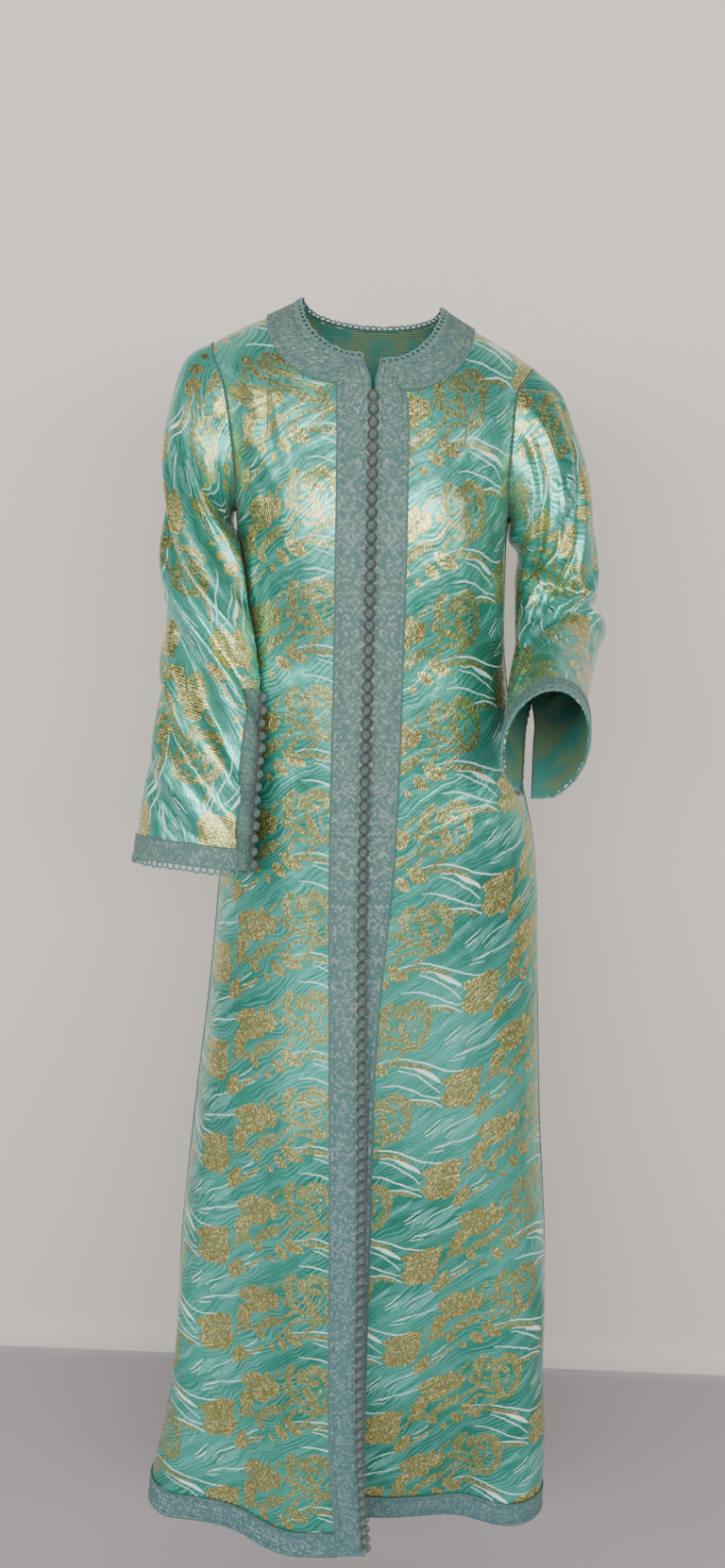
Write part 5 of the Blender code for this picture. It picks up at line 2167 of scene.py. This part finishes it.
    def knot_row(self, name: str, points: Array, line: Line, nodes: Sequence[str]) -> None:
        """Knots, each in its loop, over a dark cord laid behind them as painted shade.

        Args:
            name: The pieces' name.
            points: The knots' middles.
            line: The same places with the ways out of the cloth.
            nodes: The solids that the knots stand for.
        """
        finishes = self.finishes.cord, self.finishes.loop, self.finishes.shade
        cord, loop, painted_shade = (finish.material() for finish in finishes)
        ways, outs = line.ways(), line.outs
        item = self.knots.place(name, Row(points, ways, outs), self.KNOT, cord)
        enrol(item, nodes)
        loops = Row(points - outs * self.LOOP_DEPTH, outs, ways)
        enrol(self.rings.place(f"{name}_loops", loops, self.LOOP, loop), [])
        # Painted shade: a dark cord behind the knots darkens the gap between them and the braid.
        shade_path = Line(points - outs * self.PAINTED_SHADE_DEPTH, outs)
        enrol(cord_piece(f"{name}_cord", [shade_path], self.PAINTED_SHADE_RADIUS, painted_shade), [])

    @staticmethod
    def upright(sheet: Sheet, x: float, top: float, foot: float) -> Line:
        """A line straight down a sheet.

        Args:
            sheet: The sheet.
            x: Where the line is.
            top: Its upper end's height.
            foot: Its lower end's height.

        Returns:
            The line.
        """
        points, outs = [], []
        for row, ways in zip(sheet.points, sheet.normals):
            order = np.argsort(row[:, 0])
            spot = read_at(x, row[order, 0], row[order])
            if foot <= spot[2] <= top:
                points.append(spot)
                outs.append(read_at(x, row[order, 0], ways[order]))
        return Line(np.array(points), unit(np.array(outs)))

    def neck_line(self, turn: float) -> tuple:
        """One place of the neck braid on the back.

        Args:
            turn: How far round the neck it is, from -90 to 90.

        Returns:
            The braid's points across it and the ways out of them.
        """
        form = self.panels.form
        share = np.linspace(0, 1, self.panels.braid_columns + 1)
        half = NECK_HALF + NECK_BRAID * share
        drop = BACK_NECK_DROP + BACK_BRAID * share
        sine, cosine = sine_cosine(turn)
        x = half * sine
        ridge = NECK_TOP - SHOULDER_TILT * x
        z = np.where(half > NECK_HALF, form.shoulder_height(x), ridge) - drop * cosine
        if abs(turn) == 90:
            z = form.shoulder_height(x)
            return np.stack([x, np.zeros_like(x), z], axis=-1), ridge_normal(x)
        angle = form.angle_at(x, z, back=True)
        across = form.point(angle + 0.5, z) - form.point(angle - 0.5, z)
        rise = form.point(angle, z + 0.002) - form.point(angle, z - 0.002)
        outs = unit(np.cross(across, rise))
        return form.point(angle, z) + outs * self.NECK_EASE, outs

    def neck_trim(self) -> None:
        """The braid round the neck with a picot of fine loops on its inner edge."""
        columns = slice(0, self.panels.braid_columns + 1)
        rows = slice(self.panels.neck_row, -1)
        right, left = (self.fronts[side].part(rows, columns) for side in (-1, 1))
        back = [self.neck_line(turn) for turn in np.linspace(-90, 90, self.NECK_STEPS + 1)]
        points, outs = (np.array([place[k] for place in back]) for k in (0, 1))
        points = np.concatenate([right.points, points, left.points[::-1]])
        outs = np.concatenate([right.normals, outs, left.normals[::-1]])
        sheet = Sheet(points, outs, points[..., :2], flip=True)
        sheet = sheet.drawn_in(0, SEAM_GAP / 2, SEAM_GAP / 2)
        edges = self.strip("neck_braid", sheet, 1)
        self.edge_cords("edge_cords_neck", edges)
        self.picots("picots_neck", edges[0], *self.NECK_PICOTS)

    def picots(self, name: str, line: Line, pitch: float, radius: float, beyond: float) -> None:
        """A row of fine loops along an edge.

        Args:
            name: The piece's name.
            line: The edge.
            pitch: How far apart the loops are.
            radius: The loops' radius.
            beyond: How far past the edge their middles lie.
        """
        line = line.stepped(pitch)
        aside = unit(np.cross(line.ways(), line.outs)) * beyond
        row = Row(line.points + aside, line.outs, line.ways())
        size = RepeatSize(radius, self.PICOT_CORD, spread=self.PICOT_SPREAD)
        item = self.rings.place(name, row, size, self.finishes.picot.material())
        enrol(item, [])

    def sleeve_trim(self, side: int) -> None:
        """One sleeve's cuff and slit braids, its picots and the slit's knots.

        Args:
            side: Which sleeve.
        """
        word, sheet, cut = SIDE_WORD[side], self.sleeves[side], self.cuts[side]
        edge = cut.braid_columns
        closed = cut.upper_rings
        cuff = sheet.part(slice(-(cut.cuff_rings + 1), None), slice(edge, -edge))
        lines = self.strip(f"cuff_braid_{word}", cuff.drawn_in(1, SEAM_GAP, SEAM_GAP), 0)
        hem = lines[1]
        columns = {"front": slice(-(edge + 1), None), "back": slice(0, edge + 1)}
        for part, span in columns.items():
            strip = sheet.part(slice(closed, None), span)
            lines += self.strip(f"slit_braid_{word}_{part}", strip, 1)
        self.edge_cords(f"edge_cords_sleeve_{word}", lines)
        self.picots(f"picots_cuff_{word}", hem, *self.CUFF_PICOTS)
        points, outs = sheet.points[closed:, -1], sheet.normals[closed:, -1]
        away = unit(points - sheet.points[closed:, -2])
        path = points + outs * self.BUTTON_RISE + away * self.BESIDE_EDGE
        line = Line(self.panels.form.outside(path, self.KNOT_CLEARANCE), outs)
        line = line.stepped(arc(line.points)[-1] / self.SLIT_KNOTS)
        self.knot_row(f"knots_slit_{word}", line.points, line, [f"slit_buttons_{word}"])

    def seams(self) -> None:
        """The corded side seams, the darts at the chest and the armhole seams."""
        low = self.panels.low_rows
        lines = {name: [] for name in self.SEAM_CORDS}
        for side in (-1, 1):
            front, sleeve = self.fronts[side], self.sleeves[side]
            lines["side"].append(Line(front.points[:low, -1], front.normals[:low, -1]))
            dart = self.upright(front, side * self.DART_X, self.DART_TOP, self.DART_FOOT)
            lines["dart"].append(dart)
            ring = [np.append(v[0], v[0][:1], axis=0) for v in (sleeve.points, sleeve.normals)]
            lines["armhole"].append(Line(*ring))
        for name, (lift, radius) in self.SEAM_CORDS.items():
            lifted = [line.lifted(lift) for line in lines[name]]
            self.edge_cords(f"seam_cords_{name}", lifted, radius)


@dataclass(frozen=True)
class Lamp:
    """A soft area light: where it is, what it looks at, its size, power and colour."""

    name: str
    place: tuple
    target: tuple
    size: tuple
    power: float
    colour: str


class Studio:
    """The photo's camera, a plain pale floor and backdrop, and soft light."""

    FLOOR = -1.59
    WALL = 0.42
    COVE = 0.05
    FLOOR_STRIPS = 4
    LENS = 29.957
    CAMERA = (0.0115, -1.49, -0.20)
    PITCH = 12.6
    ROLL = 2.4
    EXTENT = 5.0
    NEAR = -6.0
    TOP = 3.0
    SKY = "#F4F1EC"
    SKY_STRENGTH = 0.10
    LAMPS = (
        Lamp("window", (-0.10, -3.0, 0.24), (0.0, 0.0, 0.24), (5.4, 0.98), 214.0, "#FFFDF8"),
        Lamp("sill", (-0.55, -3.0, -0.83), (-0.2, 0.0, -0.83), (3.0, 0.75), 6.5, "#F6F9FF"),
        Lamp("left", (-3.2, -1.6, 0.16), (0.0, 0.0, 0.16), (1.4, 1.15), 30.0, "#FFFDF8"),
        Lamp("right", (3.2, -1.6, 0.16), (0.0, 0.0, 0.16), (1.4, 1.15), 25.0, "#FFFDF8"),
        Lamp("above", (0.0, -2.4, 2.0), (0.0, 0.0, -0.3), (2.6, 1.2), 3.0, "#FFEFD6"),
        Lamp("low_left", (-0.75, -1.85, -1.40), (-0.15, 0.0, -1.15), (0.7, 0.18), 1.5, "#F2F8FF"),
        Lamp("low_right", (0.80, -1.85, -1.42), (0.20, 0.0, -1.25), (0.4, 0.15), 0.3, "#F2F8FF"),
    )

    def __init__(self, finishes: Finishes) -> None:
        """Keeps the finishes."""
        self.finishes = finishes

    def build(self) -> None:
        """Makes the camera, the backdrop and the lights."""
        self.camera()
        self.backdrop()
        for lamp in self.LAMPS:
            self.lamp(lamp)
        world = bpy.data.worlds.new("studio")
        world.use_nodes = True
        sky = world.node_tree.nodes["Background"]
        feed(sky, {"Color": linear(self.SKY), "Strength": self.SKY_STRENGTH})
        bpy.context.scene.world = world

    def camera(self) -> None:
        """The camera, tilted down and rolled a little, with everything in focus."""
        pitch, roll = math.radians(self.PITCH), math.radians(self.ROLL)
        data = bpy.data.cameras.new("photo_camera")
        data.lens = self.LENS
        data.dof.use_dof = False
        item = bpy.data.objects.new("photo_camera", data)
        right = (math.cos(roll), math.sin(roll) * math.sin(pitch), math.sin(roll) * math.cos(pitch))
        up = (-math.sin(roll), math.cos(roll) * math.sin(pitch), math.cos(roll) * math.cos(pitch))
        back = (0.0, -math.cos(pitch), math.sin(pitch))
        turn = Matrix((right, up, back)).transposed().to_4x4()
        item.matrix_world = Matrix.Translation(self.CAMERA) @ turn
        bpy.context.scene.collection.objects.link(item)
        bpy.context.scene.camera = item

    def backdrop(self) -> None:
        """Studio paper that sweeps from the floor up the wall."""
        turn = np.radians(np.linspace(0, 90, 13))
        sweep = self.WALL - self.COVE + self.COVE * np.sin(turn)
        rise = self.FLOOR + self.COVE * (1 - np.cos(turn))
        y = np.concatenate([[self.NEAR], sweep, [self.WALL]])
        z = np.concatenate([[self.FLOOR], rise, [self.TOP]])
        line = np.stack([y, z], axis=-1)
        left, right = (np.insert(line, 0, x, axis=1) for x in (-self.EXTENT, self.EXTENT))
        count = len(line)
        faces = [(k, count + k, count + k + 1, k + 1) for k in range(count - 1)]
        papers = [self.finishes.paper.material(), self.finishes.floor.material()]
        item = mesh_piece("studio_paper", np.concatenate([left, right]), faces, papers)
        for face in item.data.polygons[: self.FLOOR_STRIPS]:
            face.material_index = 1
        item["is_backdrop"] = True

    def lamp(self, lamp: Lamp) -> None:
        """Adds one area light.

        Args:
            lamp: What it is like.
        """
        data = bpy.data.lights.new(lamp.name, "AREA")
        data.shape = "RECTANGLE"
        data.size, data.size_y = lamp.size
        data.energy = lamp.power
        data.color = linear(lamp.colour)[:3]
        item = bpy.data.objects.new(lamp.name, data)
        way = Vector(lamp.target) - Vector(lamp.place)
        item.rotation_euler = way.to_track_quat("-Z", "Y").to_euler()
        item.location = lamp.place
        bpy.context.scene.collection.objects.link(item)


def corners() -> list:
    """The shown object's lowest and highest corners as plain lists."""
    return [list(corner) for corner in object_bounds()]


def main() -> None:
    """Builds the kaftan and its studio, and writes down how big the pieces are."""
    logging.basicConfig(level=logging.INFO, format="%(name)s: %(message)s")
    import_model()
    finishes = make_finishes()
    Kaftan(finishes).build()
    Studio(finishes).build()
    bpy.context.view_layer.update()


if __name__ == "__main__":
    main()
